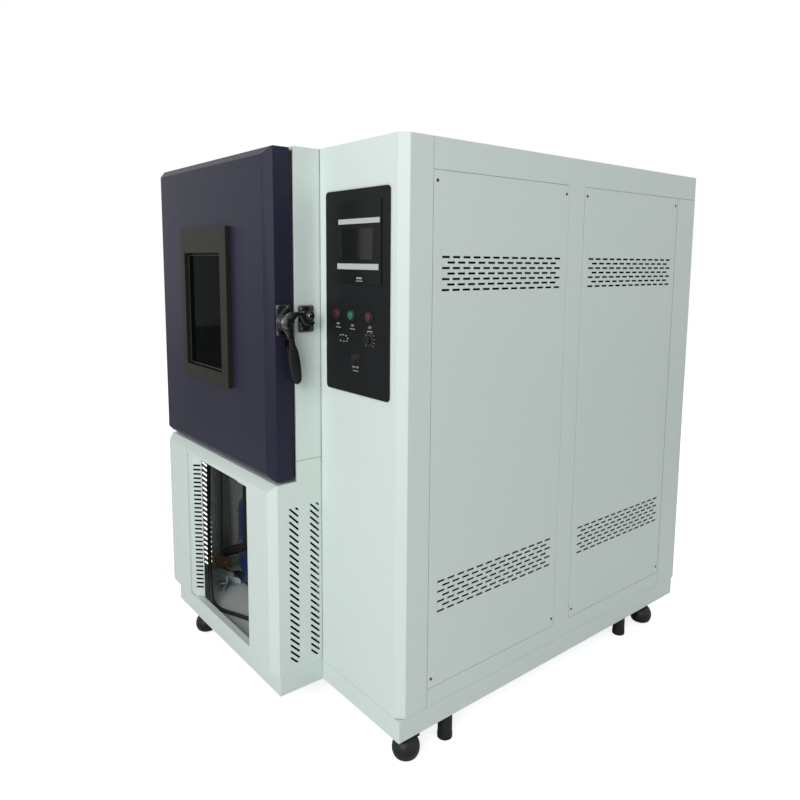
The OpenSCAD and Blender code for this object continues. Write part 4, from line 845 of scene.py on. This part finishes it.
# Hinges on the left edge. Each is a pair of zinc plated leaves folded round one pin, fixed by
# pan head screws.
hinge_zinc = finish("hinge_zinc", (0.40, 0.41, 0.41), 0.34, metallic=1.0, drift=0.2, spread=0.2)
rounded_copy("hinge_leaves_fixed", "hinge_fixed", hinge_zinc, 0.8)
rounded_copy("hinge_leaves_door", "hinge_door", hinge_zinc, 0.8)
leaf_x, leaf_heights = -1216, (808, 1415)
for body, ys in (("cabinet", (-76, -50)), ("door", (-146, -132))):
    repeated("hinge_screws_" + body, screw_tree,
             [(leaf_x, y, z + dz) for y in ys for z in leaf_heights for dz in (15, 85)], body,
             {"Head radius": 0.0045, "Head height": 0.0018, "Axis": (-1, 0, 0), "Metal": plated}, (), "zinc")


# Latch on the door's free edge. A black chromed housing carries a brighter cast lever, and the
# keeper a black chromed roller; the lever's tang is moulded into a black rubber grip.
# Both chromes take a strong pale colour on their rounded edges: it is painted highlight, the glints of the
# chrome.
dark_chrome = finish("dark_chrome", (0.035, 0.04, 0.037), 0.3, metallic=0.85, drift=0.5, spread=0.2,
                     worn_and_glint_colour=(0.5, 0.52, 0.5), wear_and_glint=1.0, edge=0.0025, dirt_and_shade=0.5, dust_and_shade=(0.015, 0.015, 0.013))
lever_chrome = finish("lever_chrome", (0.10, 0.105, 0.10), 0.24, metallic=1.0, drift=0.5, spread=0.2,
                      worn_and_glint_colour=(0.75, 0.75, 0.72), wear_and_glint=1.0, edge=0.003, dirt_and_shade=0.5, dust_and_shade=(0.03, 0.03, 0.027))
rounded_copy("latch_housing", "latch_base", dark_chrome, 1.2, 2)
rounded_copy("latch_lever", "latch_handle", lever_chrome, 1.6, 3, sharp=55)
rounded_copy("keeper_plate", "keeper", dark_chrome, 1.0, 2)
rounded_copy("keeper_wheel", "keeper_roller", dark_chrome, 2.0, 3)
rounded_copy("latch_grip_rubber", "latch_grip", nylon, 5.5, 5, sharp=60, angle=60)
shape = bmesh.new()
turned(shape, [(0, -358.6), (15, -358.6), (16, -357.8), (15, -356.8), (11.5, -356), (10, -355),
               (7, -354.6), (0, -354.6)], at(0, -131, 1150), (1, 0, 0), 40)
piece("latch_boss_cap", shape, lever_chrome, "latch", 40, (), "zinc")
shape = bmesh.new()
turned(shape, [(0, -354), (8, -354), (8.5, -353), (7, -351.2), (4, -350.8), (0, -350.8)],
       at(0, -55, 1168), (1, 0, 0), 32)
piece("keeper_axle_cap", shape, lever_chrome, "cabinet", 40, (), "zinc")


# Control panel. A black coated plate carries a raised display frame with a touch screen
# between two pale label strips, then the buttons, the knob and the power switch.
panel_coat = finish("control_plate_coat", (0.010, 0.0108, 0.012), 0.42, drift=0.2, grain=0.12, dirt_and_shade=0.2,
                    dust_and_shade=(0.03, 0.03, 0.03), gloss=0.12)
dress(panel_coat, "control_plate")
softened(0.8, "control_plate")
gloss_panel = finish("display_frame_film", (0.008, 0.009, 0.0095), 0.32, drift=0.15, dirt_and_shade=0.2,
                     dust_and_shade=(0.02, 0.02, 0.02), worn_and_glint_colour=(0.05, 0.05, 0.05), gloss=0.12)
dress(gloss_panel, "display_frame")
softened(0.6, "display_frame")
screen = finish("screen_glass", (0.012, 0.0125, 0.0125), 0.12, drift=0.4, dirt_and_shade=0.05,
                dust_and_shade=(0.02, 0.02, 0.02), gloss=0.2)
dress(screen, "touch_screen")
softened(0.3, "touch_screen", cuts=1)
strip_film = finish("pale_label_film", (0.52, 0.54, 0.54), 0.5, drift=0.12, dirt_and_shade=0.1)
shape = bmesh.new()
block(shape, (-281, -7.5, 1429), (-88, -7.0, 1443), 0.2, 1)
block(shape, (-287, -7.5, 1305), (-93, -7.0, 1321), 0.2, 1)
piece("label_strips", shape, strip_film, "cabinet", 30, (), "panel_black")

button_ring = finish("button_ring", (0.012, 0.012, 0.012), 0.3, drift=0.2, gloss=0.3)
rounded_copy("button_rings", "control_bezels", button_ring, 0.6)
red_cap = finish("red_button_cap", (0.10, 0.006, 0.014), 0.3, drift=0.3, dirt_and_shade=0.3, dust_and_shade=(0.01, 0.002, 0.002))
green_cap = finish("green_button_cap", (0.008, 0.20, 0.11), 0.3, drift=0.3, dirt_and_shade=0.3,
                   dust_and_shade=(0.002, 0.02, 0.01))
for side, node, paint in (("left", "red_button_left", red_cap), ("middle", "green_button", green_cap),
                          ("right", "red_button_right", red_cap)):
    rounded_copy("push_button_" + side, node, paint, 1.6, 4)
rounded_copy("setting_knob_black", "setting_knob", nylon, 0.8, 3)
rounded_copy("rocker_black", "rocker", nylon, 0.6, 2)


# Printed marks on the panel, in pale ink: ON and OFF by the buttons and under the switch, short
# bars in the places of words, and a dotted scale round the knob.
ink = finish("pale_ink", (0.55, 0.58, 0.57), 0.6, drift=0.1, dirt_and_shade=0.0)


def lettering(name, words, x, y, z, height):
    curve = bpy.data.curves.new(name, "FONT")
    curve.body = words
    curve.size = height / 1000
    curve.align_x = "CENTER"
    curve.extrude = 0.0001
    thing = bpy.data.objects.new(name, curve)
    bpy.context.scene.collection.objects.link(thing)
    mesh = bpy.data.meshes.new_from_object(thing.evaluated_get(bpy.context.evaluated_depsgraph_get()))
    bpy.data.objects.remove(thing)
    mesh.transform(Matrix.Translation(at(x, y, z)) @ Matrix.Rotation(math.radians(90), 4, "X"))
    mesh.materials.clear()
    mesh.materials.append(ink)
    printed = bpy.data.objects.new(name, mesh)
    bpy.context.scene.collection.objects.link(printed)
    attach(printed, "cabinet")


lettering("word_off_left", "OFF", -288, -4.15, 1146, 9)
lettering("word_on", "ON", -217, -4.15, 1146, 9)
lettering("word_off_right", "OFF", -135, -4.15, 1146, 9)
lettering("word_on_off", "ON  OFF", -202, -4.15, 1030, 8)


def mark(x, z, width, height, y=-4.0):
    block(shape, (x - width / 2, y - 0.2, z - height / 2), (x + width / 2, y, z + height / 2))


knob_x, knob_z = -136, 1115
shape = bmesh.new()
for k in range(11):
    turn_of_mark = math.radians(-135 + 27 * k)
    for r in (20.0, 23.5):
        mark(knob_x + r * math.sin(turn_of_mark), knob_z + r * math.cos(turn_of_mark), 1.6, 1.6)
for x in (-288, -217, -135):
    mark(x, 1139, 24, 1.6)
for x, z in ((-276, 1117), (-262, 1119), (-248, 1117), (-240, 1110), (-276, 1101), (-259, 1100),
             (-244, 1102)):
    mark(x, z, 6, 2.4)
for k in range(3):
    mark(-189.5 + 9 * k, 1281.5, 5, 5, -7.0)
mark(-180, 1273.7, 31, 1.4, -7.0)
mark(-202, 1022, 26, 1.4)
piece("knob_scale", shape, ink, "cabinet", 30, (), "panel_black")
shape = bmesh.new()
block(shape, (-136.9, -16.2, 1115.5), (-135.1, -15.4, 1126.5), 0.2, 1)
piece("knob_pointer", shape, ink, "knob", 30, (), "black_plastic")
